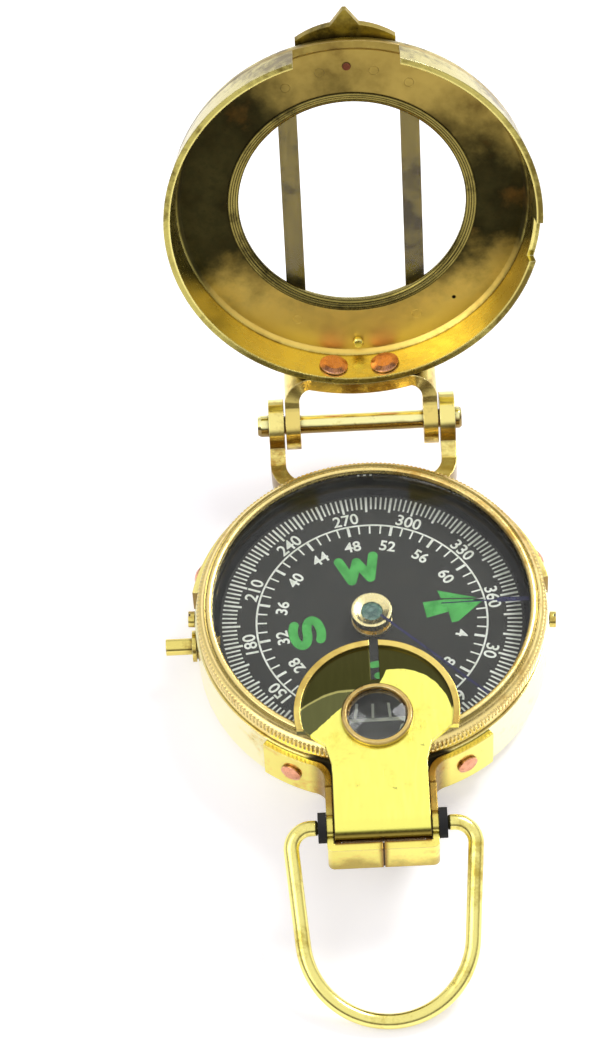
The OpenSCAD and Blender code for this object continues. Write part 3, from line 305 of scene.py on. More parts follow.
spun_brass = brass("spun_case_brass", (254, 248, 200), (232, 212, 130), patches=0.35, roughness=0.17,
                   rings=0.5, grain=(500.0, 500.0, 2600.0), grime_and_shade=0.35, more=blackened_inside)
dress("case_cup", spun_brass)


# Pivot, brake and plunger
# A post with a steel needle stands on the case floor. The plunger in its bush pushes a rocking
# lever whose pads lift against the card. A spring on the plunger's thin end brings it back.

def grid_faces(rows, columns, rows_closed=False, columns_closed=False, flip=False, caps=False, start=0):
    """Faces between the points of a grid, four-cornered, and a cap on its first and last row."""
    row = np.arange(rows if rows_closed else rows - 1)[:, None]
    column = np.arange(columns if columns_closed else columns - 1)[None, :]
    next_row, next_column = (row + 1) % rows, (column + 1) % columns
    corners = [row * columns + column, row * columns + next_column,
               next_row * columns + next_column, next_row * columns + column]
    quads = np.stack(np.broadcast_arrays(*(corners[::-1] if flip else corners)), axis=-1).reshape(-1, 4)
    faces = (quads + start).tolist()
    if caps:
        first = np.arange(columns) + start
        last = first + (rows - 1) * columns
        faces += [first.tolist(), last[::-1].tolist()] if flip else [first[::-1].tolist(), last.tolist()]
    return faces


def grid_mesh(name, points, **closed):
    """Mesh of a grid of points (rows, columns, 3) in metres."""
    mesh = bpy.data.meshes.new(name)
    mesh.from_pydata(points.reshape(-1, 3).tolist(), [], grid_faces(*points.shape[:2], **closed))
    mesh.shade_smooth()
    return mesh


def tube(name, centres, sides_of, radii, around=20):
    """Round wire along centres: each ring of points turns from its side direction about the path."""
    along = np.gradient(centres, axis=0)
    along /= np.linalg.norm(along, axis=1, keepdims=True)
    sides_of = sides_of - along * np.sum(sides_of * along, axis=1, keepdims=True)
    sides_of /= np.linalg.norm(sides_of, axis=1, keepdims=True)
    third = np.cross(along, sides_of)
    turn = np.linspace(0, 2 * math.pi, around, endpoint=False)
    turn = turn[None, :, None]
    ring = np.cos(turn) * sides_of[:, None, :] + np.sin(turn) * third[:, None, :]
    points = centres[:, None, :] + radii[:, None, None] * ring
    return grid_mesh(name, points * MM, columns_closed=True, caps=True)


def place(name, mesh, material, body, slot, stands_for=()):
    """Adds a finished piece that rides a body and may stand for CAD nodes."""
    mesh.materials.append(material)
    piece = link(bpy.data.objects.new(name, mesh))
    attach(piece, body)
    if stands_for:
        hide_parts(*stands_for)
    return piece


raw_brass = brass("turned_inner_brass", (214, 176, 98), (150, 112, 50), patches=0.6, roughness=0.28,
                  rings=0.8)
rod_brass = brass("turned_rod_brass", (236, 218, 122), (160, 124, 50), patches=0.55, roughness=0.15,
                  grain=(300.0, 1500.0, 1500.0), grime_and_shade=0.9, seed=0.3)
dress("pivot_post lever_bracket brake_lever", raw_brass)
# The glass retainer is painted dark grey: painted shade of the deep gap round the card.
retainer_shade_brass = brass("retainer_brass_dark_as_shade", (62, 62, 56), (48, 48, 43), patches=0.5, roughness=0.6,
                   grime_and_shade=0.0, edge=(0.09, 0.09, 0.08, 1), dark=(0.03, 0.03, 0.027, 1))
dress("glass_retainer", retainer_shade_brass)
dress("plunger plunger_bush bezel_screws sight_stud", rod_brass)


def dull_steel(name, light, dark, roughness):
    """Ground steel: fine lines along it, grey patches and a few brown spots of rust."""
    material, tree, spot = material_tree(name)
    broad = add(tree, "TexNoise", {"Vector": spot, "Scale": 260.0, "Detail": 5.0})
    stretched = add(tree, "VectorMath", {0: spot, 1: (300, 300, 2500)}, operation="MULTIPLY")
    lines = add(tree, "TexNoise", {"Vector": stretched, "Scale": 1.0, "Detail": 2.0})
    colour = mixed(tree, ramp(tree, broad, 0.35, 0.65), shade(*light), shade(*dark))
    colour = mixed(tree, ramp(tree, broad, 0.66, 0.75), colour, (0.16, 0.07, 0.03, 1))
    bump = add(tree, "Bump", {"Height": lines, "Strength": 0.3, "Distance": 0.00002})
    skin(tree, {"Base Color": colour, "Metallic": 1.0, "Normal": bump,
                "Roughness": ramp(tree, lines, 0.3, 0.7, roughness, roughness + 0.18)})
    return material


needle_steel = dull_steel("needle_steel", (205, 207, 210), (150, 152, 156), 0.2)
spring_steel = dull_steel("spring_wire_steel", (170, 170, 174), (110, 110, 112), 0.3)
dress("pivot_needle lever_pin", needle_steel)

coil_from, coil_to = np.array((-26.28, -1.0, 7.6)), np.array((-23.26, -1.0, 7.6))
coil_turns, coil_r, coil_wire_r = 5.5, 1.0, 0.22
at = np.linspace(0, 1, 220)
coil_turn = 2 * math.pi * coil_turns * at
coil_side = np.stack([0 * at, np.cos(coil_turn), np.sin(coil_turn)], axis=1)
coil_centres = coil_r * coil_side + coil_from + (coil_to - coil_from) * at[:, None]
coil_radii = np.full(len(at), coil_wire_r)
coil_radii[[0, -1]] = 0.001
coil = place("return_spring", tube("return_spring", coil_centres, coil_side, coil_radii, 10), spring_steel,
             "case", "spring_steel", ["plunger_spring"])
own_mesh(coil)


# Bezel
# A turned brass ring with a milled edge turns on the case and carries the dial glass. Two dark
# blue hair lines on the underside of the glass turn with it.

slots, slot_depth = 240, 0.34
outline = np.array([
    (28.0, 10.9, 0), (29.0, 10.9, 0), (29.05, 10.95, 0), (29.05, 11.68, 0), (28.55, 11.7, 0),
    (28.55, 12.9, 0), (29.05, 12.92, 0), (29.05, 13.68, 0), (29.62, 13.70, 0), (29.8, 13.73, 0),
    (29.93, 13.82, 0), (30.0, 14.0, 0), (30.0, 14.4, 0), (30.0, 14.98, 0), (30.0, 15.1, 0.6),
    (30.0, 15.2, 1), (30.0, 15.8, 1), (30.0, 16.3, 1), (29.98, 16.42, 1), (29.92, 16.55, 0.9),
    (29.82, 16.65, 0.45), (29.66, 16.72, 0.05), (29.55, 16.75, 0), (29.2, 16.98, 0), (28.86, 17.4, 0),
    (28.74, 17.66, 0), (28.68, 17.73, 0), (28.62, 17.73, 0), (28.5, 17.6, 0), (28.42, 17.56, 0),
    (28.32, 17.62, 0), (28.22, 17.82, 0), (28.1, 17.93, 0), (27.95, 17.985, 0), (27.78, 18.0, 0),
    (27.6, 17.985, 0), (27.4, 17.91, 0), (27.27, 17.78, 0), (27.2, 17.55, 0), (27.2, 17.2, 0),
    (27.2, 16.72, 0), (27.3, 16.7, 0), (27.98, 16.7, 0), (28.0, 16.68, 0), (28.0, 15.0, 0),
    (28.0, 13.0, 0)])
step = np.array([0.0, 0.26, 0.50, 0.57, 0.75, 0.93])
cut = np.array([0.0, 0.0, 0.0, 1.0, 1.0, 1.0])
angle = (np.arange(slots)[:, None] + step[None, :]).ravel() * 2 * math.pi / slots
cut = np.tile(cut, slots)
radius = outline[:, None, 0] - slot_depth * outline[:, None, 2] * cut[None, :]
bezel_points = np.stack([radius * np.cos(angle), radius * np.sin(angle),
                         np.broadcast_to(outline[:, None, 1], radius.shape)], axis=-1)
bezel_mesh = grid_mesh("milled_bezel", bezel_points * MM, rows_closed=True, columns_closed=True)


def olive_groove(tree, spot, colour, rough, broad, fine):
    """A darker olive band in the groove beside the bead, by distance from the axis, and painted shade in
    the bore under the glass: dark grey, by distance and height."""
    z = split(tree, spot)[2]
    reach = from_axis(tree, spot)
    groove = between(tree, reach, 0.02815, 0.02835, 0.02872, 0.02895)
    colour = mixed(tree, times(tree, groove, 0.8), colour, shade(120, 104, 44))
    # Painted shade of the deep gap round the card: the bore under the glass dark grey.
    shaded_bore = times(tree, fall(tree, reach, 0.02802, 0.02812), fall(tree, z, 0.0163, 0.0166))
    colour = mixed(tree, shaded_bore, colour, mixed(tree, broad, shade(44, 44, 40), shade(58, 58, 52)))
    return colour, plus(tree, rough, times(tree, shaded_bore, 0.45))


bezel_brass = brass("milled_bezel_brass", (246, 222, 146), (198, 160, 84), patches=0.55, roughness=0.23,
                    rings=0.4, grain=(700.0, 700.0, 700.0), seed=0.7, more=olive_groove)
place("milled_bezel", bezel_mesh, bezel_brass, "bezel", "bezel_brass", ["bezel_ring"])


def clear_glass(name, tint, dust=0.015, bend=None):
    """Glass that lets light straight through and shines by the angle of view, with a little dust. Past 50
    degrees off square its far face shines fully and hides what lies behind, which a real pane doesn't.
    bend gives a refractive index for glass thick enough to shift what is behind it."""
    material, tree, spot = material_tree(name)
    smear = add(tree, "TexNoise", {"Vector": spot, "Scale": 140.0, "Detail": 6.0, "Roughness": 0.7})
    grit = add(tree, "TexNoise", {"Vector": spot, "Scale": 2600.0, "Detail": 2.0})
    bump = add(tree, "Bump", {"Height": smear, "Strength": 0.02, "Distance": 0.00002})
    clear = add(tree, "BsdfTransparent", {"Color": tint})
    shine = add(tree, "BsdfGlossy", {
        "Color": (1, 1, 1, 1), "Roughness": ramp(tree, smear, 0.3, 0.7, 0.01, 0.06), "Normal": bump})
    gloss = add(tree, "Fresnel", {"IOR": 1.3})
    if bend:
        bent = add(tree, "BsdfRefraction", {"Color": tint, "Roughness": 0.0, "IOR": bend})
        passing = any_ray(tree, "Shadow", "Diffuse")
        clear = add(tree, "MixShader", {0: passing, 1: bent, 2: clear})
    glass = add(tree, "MixShader", {0: gloss, 1: clear, 2: shine})
    overlay = add(tree, "BsdfDiffuse", {"Color": (0.75, 0.75, 0.72, 1)})
    share = times(tree, ramp(tree, times(tree, smear, grit), 0.24, 0.42), dust)
    add(tree, "OutputMaterial", {"Surface": add(tree, "MixShader", {0: share, 1: glass, 2: overlay})})
    return material


flat_glass = clear_glass("flat_clear_glass", (0.995, 1.0, 0.995, 1))
dress("dial_glass lid_glass", flat_glass)


def paint_of(name, light, dark, scale=900.0, roughness=0.55):
    """Thin matt ink or paint: two shades in small patches, with a slightly rough skin."""
    material, tree, spot = material_tree(name)
    patch = add(tree, "TexNoise", {"Vector": spot, "Scale": scale, "Detail": 5.0, "Roughness": 0.65})
    colour = mixed(tree, ramp(tree, patch, 0.35, 0.7), shade(*light), shade(*dark))
    bump = add(tree, "Bump", {"Height": patch, "Strength": 0.3, "Distance": 0.00003})
    skin(tree, {"Base Color": colour, "Normal": bump, "Specular IOR Level": 0.3,
                "Roughness": ramp(tree, patch, 0.3, 0.7, roughness - 0.1, roughness + 0.15)})
    return material


def bars(starts, ends, widths, z):
    """Flat bars from starts to ends (n, 2) in mm with their widths: points (n, 4, 3), turning left."""
    along = ends - starts
    along = along / np.linalg.norm(along, axis=1, keepdims=True)
    side = np.stack([along[:, 1], -along[:, 0]], axis=1) * widths[:, None] / 2
    flat = np.stack([starts + side, ends + side, ends - side, starts - side], axis=1)
    return np.concatenate([flat, np.full((*flat.shape[:2], 1), z)], axis=2)


def face_up(group):
    """Group with each face turned up: the sum of x y' - x' y round its corners is twice its area,
    negative for a face that looks down."""
    x, y = group[..., 0], group[..., 1]
    twice_area = np.sum(x * np.roll(y, -1, axis=1) - np.roll(x, -1, axis=1) * y, axis=1)
    return np.where((twice_area < 0)[:, None, None], group[:, ::-1], group)


def flat_mesh(name, groups):
    """One mesh of several groups of separate flat faces, each group (n, corners, 3) in mm."""
    groups = [face_up(group) for group in groups]
    mesh = bpy.data.meshes.new(name)
    points = np.concatenate([g.reshape(-1, 3) for g in groups])
    faces, start = [], 0
    for group in groups:
        count = group.shape[0] * group.shape[1]
        faces += (start + np.arange(count)).reshape(group.shape[:2]).tolist()
        start += count
    mesh.from_pydata((points * MM).tolist(), [], faces)
    return mesh


def unit(turn):
    """Points (n, 2) of the circle of radius 1 at angles from +X."""
    return np.stack([np.cos(turn), np.sin(turn)], axis=1)


def clockwise(radius, degrees):
    """Points at radii and bearings, clockwise from +Y as on the card."""
    turn = np.radians(degrees)
    return np.stack([radius * np.sin(turn), radius * np.cos(turn)], axis=-1)


hair_z = 15.17
hair = bars(np.array([clockwise(1.9, 128.0), clockwise(12.0, 87.2), clockwise(21.6, 88.0)]),
            np.array([clockwise(27.9, 133.5), clockwise(21.6, 88.0), clockwise(27.6, 88.4)]),
            np.array([0.46, 0.24, 0.90]), hair_z)
navy = paint_of("navy_line_paint", (34, 32, 84), (16, 16, 52))
place("glass_lines", flat_mesh("glass_lines", [hair]), navy, "bezel", "clear_glass")


# Card
# A thin dark card turns on the jewel with two magnets below it. Its scales are printed in white,
# a mark every two degrees outside and sixty-four parts inside, its letters in green luminous paint.

card_top, heading = 11.6, 80.0
ink_z = card_top + 0.02


def ring_strip(radius, width, z, around=360):
    """Printed circle of a given line width, as a closed strip of faces."""
    turn = np.linspace(0, 360, around + 1)
    inner, outer = clockwise(radius - width / 2, turn), clockwise(radius + width / 2, turn)
    strip = np.stack([inner[:-1], inner[1:], outer[1:], outer[:-1]], axis=1)
    return np.concatenate([strip, np.full((around, 4, 1), z)], axis=2)


def glyphs(text, height, stretch=1.0, weight=0.0):
    """Triangles (n, 3, 2) of a text in mm about its middle, scaled to a cap height."""
    curve = bpy.data.curves.new("glyph", "FONT")
    curve.body = text
    curve.offset = weight
    curve.resolution_u = 4
    holder = link(bpy.data.objects.new("glyph", curve))
    bpy.context.view_layer.update()
    mesh = holder.evaluated_get(bpy.context.evaluated_depsgraph_get()).to_mesh()
    mesh.calc_loop_triangles()
    points = np.array([v.co[:2] for v in mesh.vertices])
    faces = np.array([t.vertices[:] for t in mesh.loop_triangles])
    bpy.data.objects.remove(holder)
    low, high = points.min(axis=0), points.max(axis=0)
    points = (points - (low + high) / 2) * height / (high[1] - low[1])
    points[:, 0] *= stretch
    return points[faces]


def on_card(shape, radius, bearing, z):
    """Shape (n, corners, 2) with its top outward, moved to a radius and bearing on the card."""
    turn = math.radians(bearing)
    right, out = np.array([math.cos(turn), -math.sin(turn)]), np.array([math.sin(turn), math.cos(turn)])
    flat = shape[..., :1] * right + shape[..., 1:] * out + radius * out
    return np.concatenate([flat, np.full((*flat.shape[:-1], 1), z)], axis=-1)


def stroke(path, width):
    """Pen stroke with round ends along a path (n, 2) in mm, as a row of four-cornered faces. To each side
    goes width / 2 / cos(a / 2), where a is the turn at a point, and the ends narrow as a half circle."""
    path = np.array(path, float)
    along = np.diff(path, axis=0)
    along /= np.linalg.norm(along, axis=1, keepdims=True)
    before, after = np.vstack([along[:1], along]), np.vstack([along, along[-1:]])
    middle = (before + after) / np.linalg.norm(before + after, axis=1, keepdims=True)
    wide = width / 2 / np.sum(middle * before, axis=1)
    turn = np.radians([15, 30, 45, 60, 75, 88])[:, None]
    tip, narrow = width / 2 * np.sin(turn), width / 2 * np.cos(turn)[:, 0]
    centres = np.vstack([path[:1] - (along[:1] * tip)[::-1], path, path[-1:] + along[-1:] * tip])
    heading_of = np.vstack([np.tile(along[0], (len(turn), 1)), middle, np.tile(along[-1], (len(turn), 1))])
    reach = np.concatenate([narrow[::-1], wide, narrow])[:, None]
    side = np.stack([heading_of[:, 1], -heading_of[:, 0]], axis=1) * reach
    left, right = centres - side, centres + side
    return np.stack([right[:-1], right[1:], left[1:], left[:-1]], axis=1)


degree = np.arange(0.0, 360.0, 2.0) + heading
strong = np.arange(len(degree)) % 5 == 0
degree_ticks = bars(clockwise(np.where(strong, 22.7, 23.3), degree), clockwise(25.85, degree),
                    np.where(strong, 0.42, 0.32), ink_z)
part_step = 360.0 / 64
part = np.arange(0.0, 360.0, part_step) + heading
quarter = np.arange(len(part)) % 4 == 0
part_ticks = bars(clockwise(np.where(quarter, 17.85, 18.1), part), clockwise(19.85, part),
                  np.where(quarter, 0.50, 0.30), ink_z)
numbers = [on_card(glyphs(str(value), 2.3, 0.98, 0.018), 21.4, heading + value, ink_z)
           for value in range(30, 361, 30)]
numbers += [on_card(glyphs(str(value), 2.15, 1.0, 0.024), 15.7, heading + value * part_step, ink_z)
            for value in range(4, 64, 4)]
white_ink = paint_of("white_scale_ink", (252, 254, 244), (226, 230, 214))
scale_mesh = flat_mesh("printed_scales", [degree_ticks, part_ticks, ring_strip(19.9, 0.34, ink_z), *numbers])
place("printed_scales", scale_mesh, white_ink, "card", "card_black")

green = paint_of("green_luminous_paint", (84, 196, 88), (58, 158, 64), 420.0)
arrow = np.array([[(-1.62, 9.35), (1.62, 9.35), (1.25, 13.2)], [(-1.62, 9.35), (1.25, 13.2), (-1.35, 13.2)],
                  [(3.55, 13.3), (3.5, 14.5), (-1.35, 13.2)], [(3.5, 14.5), (0.05, 19.9), (-1.35, 13.2)],
                  [(-3.45, 12.3), (-1.75, 12.6), (-0.5, 18.6)]])[:, ::-1]
w_corners = np.array([(-3.05, 2.2), (-1.65, -2.2), (0.0, 1.5), (1.65, -2.2), (3.05, 2.2)])
e_corners = np.array([[(-1.9, -2.3), (-1.9, 2.3)], [(-1.9, 2.3), (1.8, 2.3)],
                      [(-1.9, 0), (1.4, 0)], [(-1.9, -2.3), (1.8, -2.3)]])
upper_bowl, lower_bowl = np.radians(np.arange(35, 265, 12)), np.radians(np.arange(90, -150, -12))
s_line = np.concatenate([(2.4, 1.2) * unit(upper_bowl) + (0, 1.2), (2.4, 1.2) * unit(lower_bowl) - (0, 1.2)])
lift = 0.003
letters = [on_card(stroke(w_corners[n:n + 2], 1.7), 10.9, heading + 270, ink_z + n * lift) for n in range(4)]
letters += [on_card(stroke(e_corners[n], 1.3), 11.2, heading + 90, ink_z + n * lift) for n in range(4)]
letters += [on_card(stroke(s_line, 1.6), 11.4, heading + 180, ink_z), on_card(arrow, 0.0, heading, ink_z)]
place("green_marks", flat_mesh("green_marks", letters), green, "card", "card_black")

card_paint = paint_of("matt_card_paint", (50, 50, 46), (64, 63, 58), 300.0, 0.85)
dress("card_disc", card_paint)
hub_brass = brass("turned_hub_brass", (244, 228, 170), (206, 182, 108), patches=0.35, roughness=0.22,
                  rings=0.9, grime_and_shade=0.0, seed=0.2)
dress("card_hub", hub_brass)
dress("card_magnets", dull_steel("magnet_steel", (92, 92, 96), (60, 60, 64), 0.45))

jewel, tree, spot = material_tree("blue_green_jewel")
clouds = add(tree, "TexNoise", {"Vector": spot, "Scale": 900.0, "Detail": 4.0})
jewel_colour = mixed(tree, ramp(tree, clouds, 0.35, 0.65), shade(48, 92, 84), shade(112, 150, 138))
skin(tree, {"Base Color": jewel_colour, "Roughness": 0.08, "Coat Weight": 0.6, "Coat Roughness": 0.03,
            "Normal": add(tree, "Bump", {"Height": clouds, "Strength": 0.1, "Distance": 0.00005})})
dress("hub_jewel", jewel)


# Hinge
# A brass strip round the back of the case and one outside the lid are bent back to thick eyes. The
# hinge pin runs through all four and is riveted over. Copper rivets hold the strips.

hinge_y, hinge_z = 40.6, 14.1
lid_turn = math.radians(110.7)
lid_shift = (0.0, hinge_y - math.cos(lid_turn) * hinge_y + math.sin(lid_turn) * hinge_z,
             hinge_z - math.sin(lid_turn) * hinge_y - math.cos(lid_turn) * hinge_z)
lid_place = (lid_turn, lid_shift)


def opened(points):
    """Points of the closed lid in mm, turned back about the hinge to where it stands at rest."""
    back, up = points[..., 1] - hinge_y, points[..., 2] - hinge_z
    return np.stack([points[..., 0], hinge_y + back * math.cos(lid_turn) + up * math.sin(lid_turn),
                     hinge_z - back * math.sin(lid_turn) + up * math.cos(lid_turn)], axis=-1)


def upright_strip(low, high, low_z, high_z, thick):
    """Points (n, 4, 3) in mm of a strip on edge. low and high (n, 2) are the middle of its lower and upper
    edge seen from above, and half the thickness goes to each side, square to the path."""
    corners = []
    for path, height, side in ((low, low_z, 1), (high, high_z, 1), (high, high_z, -1), (low, low_z, -1)):
        along = np.gradient(path, axis=0)
        along /= np.linalg.norm(along, axis=1, keepdims=True)
        edge = path + side * np.stack([along[:, 1], -along[:, 0]], axis=1) * thick[:, None] / 2
        corners.append(np.column_stack([edge, height]))
    return np.stack(corners, axis=1)


def eye_edges(y, eye_r, under, above):
    """Heights of the lower and upper edge of an arm at distances y: the plain edges run through the
    corners (y, z), and where the eye is larger its circle about the pin takes over."""
    rest = eye_r ** 2 - (y - hinge_y) ** 2
    half = np.sqrt(np.maximum(rest, 0))
    low, high = np.interp(y, *zip(*under)), np.interp(y, *zip(*above))
    return (np.where(rest > 0, np.minimum(low, hinge_z - half), low),
            np.where(rest > 0, np.maximum(high, hinge_z + half), high))


def strips(name, parts, material, body, slot, node):
    """One piece of several strips with rounded edges, in place of its CAD node."""
    mesh = bpy.data.meshes.new(name)
    faces, start = [], 0
    for part in parts:
        faces += grid_faces(*part.shape[:2], columns_closed=True, caps=True, flip=True, start=start)
        start += part.shape[0] * 4
    mesh.from_pydata((np.concatenate([part.reshape(-1, 3) for part in parts]) * MM).tolist(), [], faces)
    mesh.shade_smooth()
    mesh.set_sharp_from_angle(angle=0.7)
    rounding = place(name, mesh, material, body, slot, [node]).modifiers.new("rounded_edges", "BEVEL")
    rounding.width, rounding.segments, rounding.angle_limit = 0.3 * MM, 3, 0.7


def oiled_below(low, high):
    """Painted shade on the sides that face down, where the normal's height is under high, with an uneven
    border. For pieces that never move."""
    def darker(tree, spot, colour, rough, broad, fine):
        upward = split(tree, add(tree, "NewGeometry", out="Normal"))[2]
        uneven = waver(tree, broad, 0.9)
        # Painted shade: darker brown on the sides that face down.
        under = ramp(tree, plus(tree, upward, uneven), low, high, 0.85, 0.0)
        return mixed(tree, under, colour, mixed(tree, fine, shade(92, 66, 28), shade(150, 112, 48))), rough
    return darker


strap_brass = brass("bent_strap_brass", (250, 234, 146), (188, 150, 70), patches=0.5, roughness=0.17,
                    grain=(220.0, 1200.0, 1200.0), grime_and_shade=1.0, seed=0.9, more=oiled_below(0.34, 0.66))
ear_brass = brass("bent_ear_brass", (236, 212, 122), (146, 112, 50), patches=0.6, roughness=0.18,
                  grain=(220.0, 1200.0, 1200.0), place=lid_place, grime_and_shade=1.0, seed=0.8)
pin_brass = brass("hinge_pin_brass", (255, 248, 176), (220, 196, 104), patches=0.35, roughness=0.14,
                  grain=(300.0, 1500.0, 1500.0), grime_and_shade=1.0, seed=0.25, more=oiled_below(0.56, 0.84))
dress("hinge_pin", pin_brass)

eye_turn = np.radians(np.linspace(88.5, -90, 34))
strap_r, strap_t, strap_low, strap_top = 30.97, 1.1, 7.8, 13.0
strap_eye_r, strap_arm_x, strap_arm_t = 4.7, 15.15, 2.7
strap_bend_r, strap_bend_y = 5.35, 32.9
round_back = np.radians(np.linspace(12, 168, 90))
band_line = strap_r * unit(round_back)
band_sizes = [np.full(len(band_line), size) for size in (strap_low, strap_top, strap_t)]
band = upright_strip(band_line, band_line, *band_sizes)
inward = np.radians(np.linspace(0, -70, 20))
arm_line = np.concatenate([
    np.stack([np.full(len(eye_turn), strap_arm_x), hinge_y + strap_eye_r * np.sin(eye_turn)], axis=1),
    strap_bend_r * unit(inward) + (strap_arm_x - strap_bend_r, strap_bend_y)])
arm_low, arm_high = eye_edges(arm_line[:, 1], strap_eye_r,
                              ((24.3, strap_low), (38.25, 8.4), (hinge_y, hinge_z)),
                              ((strap_bend_y, strap_top), (36.1, 13.7), (hinge_y, hinge_z)))
right_arm = upright_strip(arm_line, arm_line, arm_low, arm_high, np.full(len(arm_line), strap_arm_t))
left_arm = right_arm[::-1] * (-1, 1, 1)
strips("bent_case_strap", [band, right_arm, left_arm], strap_brass, "case", "pale_brass", "hinge_strap")


arc_points, bend_points = 23, 15


def half_u(reach, bend_r, arm_x, arm_y):
    """Right half of a U seen from above: an arc about Z, an inner bend and a straight arm along Y."""
    turn = math.asin((arm_x - bend_r) / (reach + bend_r))
    arc = np.linspace(0, turn, arc_points + 1)[:-1]
    bend = np.linspace(-math.pi / 2 - turn, 0, bend_points)
    corner = (reach + bend_r) * np.array([math.sin(turn), math.cos(turn)])
    return np.concatenate([reach * unit(arc)[:, ::-1], corner + bend_r * unit(bend),
                           np.stack([np.full(len(arm_y), arm_x), arm_y], axis=1)])


ear_eye_r, ear_x, ear_t, ear_bend_r = 4.4, 12.2, 2.6, 2.7
base_t, base_low, base_high, base_reach = 2.1, 14.3, 20.5, 33.72
wall_lean = 0.145
ear_y = np.concatenate([[35.7, 36.1], hinge_y + ear_eye_r * np.sin(np.radians(np.linspace(-85, 88.5, 34)))])
ear_low, ear_high = eye_edges(ear_y, ear_eye_r, ((30.65, 14.5), (37.96, 11.46), (hinge_y, hinge_z)),
                              ((35.25, 20.3), (43.24, 17.4), (43.26, hinge_z)))
edges, sizes = [], []
for reach in (base_reach, base_reach - (base_high - base_low) * wall_lean):
    half = half_u(reach, ear_bend_r, ear_x, ear_y)
    edges.append(np.concatenate([half[:0:-1] * (-1, 1), half]))
for base, ear in ((base_low, ear_low), (base_high, ear_high), (base_t, np.full(len(ear_y), ear_t))):
    half = np.concatenate([np.full(arc_points, base), np.linspace(base, ear[0], bend_points), ear])
    sizes.append(np.concatenate([half[:0:-1], half]))
ears = opened(upright_strip(*edges, *sizes))
strips("bent_lid_bracket", [ears], ear_brass, "lid", "pale_brass", "lid_bracket")

copper = brass("hammered_copper", (236, 168, 132), (166, 96, 66), patches=0.6, roughness=0.26,
               edge=(0.95, 0.70, 0.52, 1), dark=(0.09, 0.03, 0.015, 1), grime_and_shade=1.0, seed=0.5)
dress("strap_rivets bracket_rivets lid_rivets", copper)
old_copper = brass("dark_old_copper", (128, 74, 52), (78, 46, 30), patches=0.5, roughness=0.35,
                   edge=(0.40, 0.20, 0.12, 1), dark=(0.05, 0.02, 0.01, 1), grime_and_shade=1.0, seed=0.65)
dress("sight_pin", old_copper)


# Front bracket
# Two halves of brass sheet are riveted to the case and meet in front in a seam filled with dark
# solder. Their cheeks carry the pivot that the eyepiece and the thumb ring share.

def handled_bracket(tree, spot, colour, rough, broad, fine):
    """Darker brown: painted shade low on the front wall, in the gap behind it and beside the stem, and dirt
    along the seam.
    """
    x, y, z = split(tree, spot)
    aside = maths(tree, "ABSOLUTE", x)
    uneven = waver(tree, broad, 0.016)
    # Painted shade: the front wall darker brown towards the table.
    low = ramp(tree, plus(tree, z, uneven), 0.0112, 0.0150, 0.62, 0.0)
    seam = ramp(tree, aside, 0.0002, 0.0011, 0.9, 0.0)
    # Painted shade in the gap behind the front wall and beside the stem.
    gap = times(tree, ramp(tree, y, -0.0471, -0.0467), fall(tree, aside, 0.0078, 0.0081))
    beside_stem_shade = times(tree, ramp(tree, y, -0.0440, -0.0385), ramp(tree, aside, 0.0098, 0.0122, 0.85, 0.0))
    front = fall(tree, y, -0.0455, -0.0450)
    painted_shade_and_dirt = most(tree, times(tree, most(tree, low, seam), front), gap, beside_stem_shade)
    brown = mixed(tree, fine, shade(86, 58, 22), shade(176, 128, 54))
    return mixed(tree, painted_shade_and_dirt, colour, brown), plus(tree, rough, times(tree, painted_shade_and_dirt, 0.1))


front_brass = brass("folded_bracket_brass", (252, 238, 124), (222, 184, 86), patches=0.5, roughness=0.17,
                    grain=(1200.0, 220.0, 1200.0), grime_and_shade=1.0, seed=0.45, more=handled_bracket)
dress("bracket_left bracket_right", front_brass)

front_out, front_in, front_low, front_top = -48.1, -46.6, 10.8, 16.8
pivot_y, pivot_z, cheek_in, cheek_out = -43.4, 16.5, 8.15, 9.25


def along_x(name, outline, ends, material, body, slot):
    """Piece with one outline (n, 2) of Y and Z in mm, between two places on X."""
    points = np.stack([np.column_stack([np.full(len(outline), x), outline]) for x in sorted(ends)])
    mesh = grid_mesh(name, points * MM, columns_closed=True, caps=True)
    mesh.set_sharp_from_angle(angle=0.7)
    return place(name, mesh, material, body, slot)


def block(name, x_ends, low, high):
    """Small dark block between two corners (y, z) in mm, with rounded edges: the seam's old solder, and
    painted shade inside the cheeks.
    """
    outline = np.array([low, (high[0], low[1]), high, (low[0], high[1])])
    made = along_x(name, outline, x_ends, solder_and_shade_paint, "case", "pale_brass")
    rounding = made.modifiers.new("rounded_edges", "BEVEL")
    rounding.width, rounding.segments = 0.05 * MM, 2


solder_and_shade_paint = paint_of("dark_solder_and_shade_paint", (66, 50, 26), (118, 92, 48), 1500.0, 0.5)
block("seam_solder", (-0.125, 0.125), (front_out + 0.2, front_low + 0.1), (front_in - 0.1, front_top - 0.12))

cheek_eye_r, plate_half_w = 2.15, 7.9
eye_ring = np.linspace(0, 2 * math.pi, 48, endpoint=False)
cheek_eye = cheek_eye_r * unit(eye_ring) + (pivot_y, pivot_z - 0.1)
# Dark blocks inside the cheeks beside the stem: painted shade between the plate and the cheeks.
for side_name, side_of in (("left", -1), ("right", 1)):
    for part_name, y_from, y_to in (("front", -46.55, -44.6), ("back", -42.2, -35.6)):
        block("cheek_painted_shade_" + part_name + "_" + side_name,
              (side_of * (plate_half_w + 0.03), side_of * (cheek_in - 0.01)), (y_from, 11.0), (y_to, 16.6))
for side_name, side_of in (("left", -1), ("right", 1)):
    along_x("cheek_eye_" + side_name, cheek_eye, (side_of * (cheek_in + 0.02), side_of * (cheek_out - 0.02)),
            front_brass, "case", "pale_brass")


# Lid
# The lid is spun from brass sheet like the case. Its inner face is painted an olive brown, tarnish
# with painted shade and reflection, darkest at both sides of the window, and painted dark dots stand
# for a few drilled holes. Guard bars cross it outside.

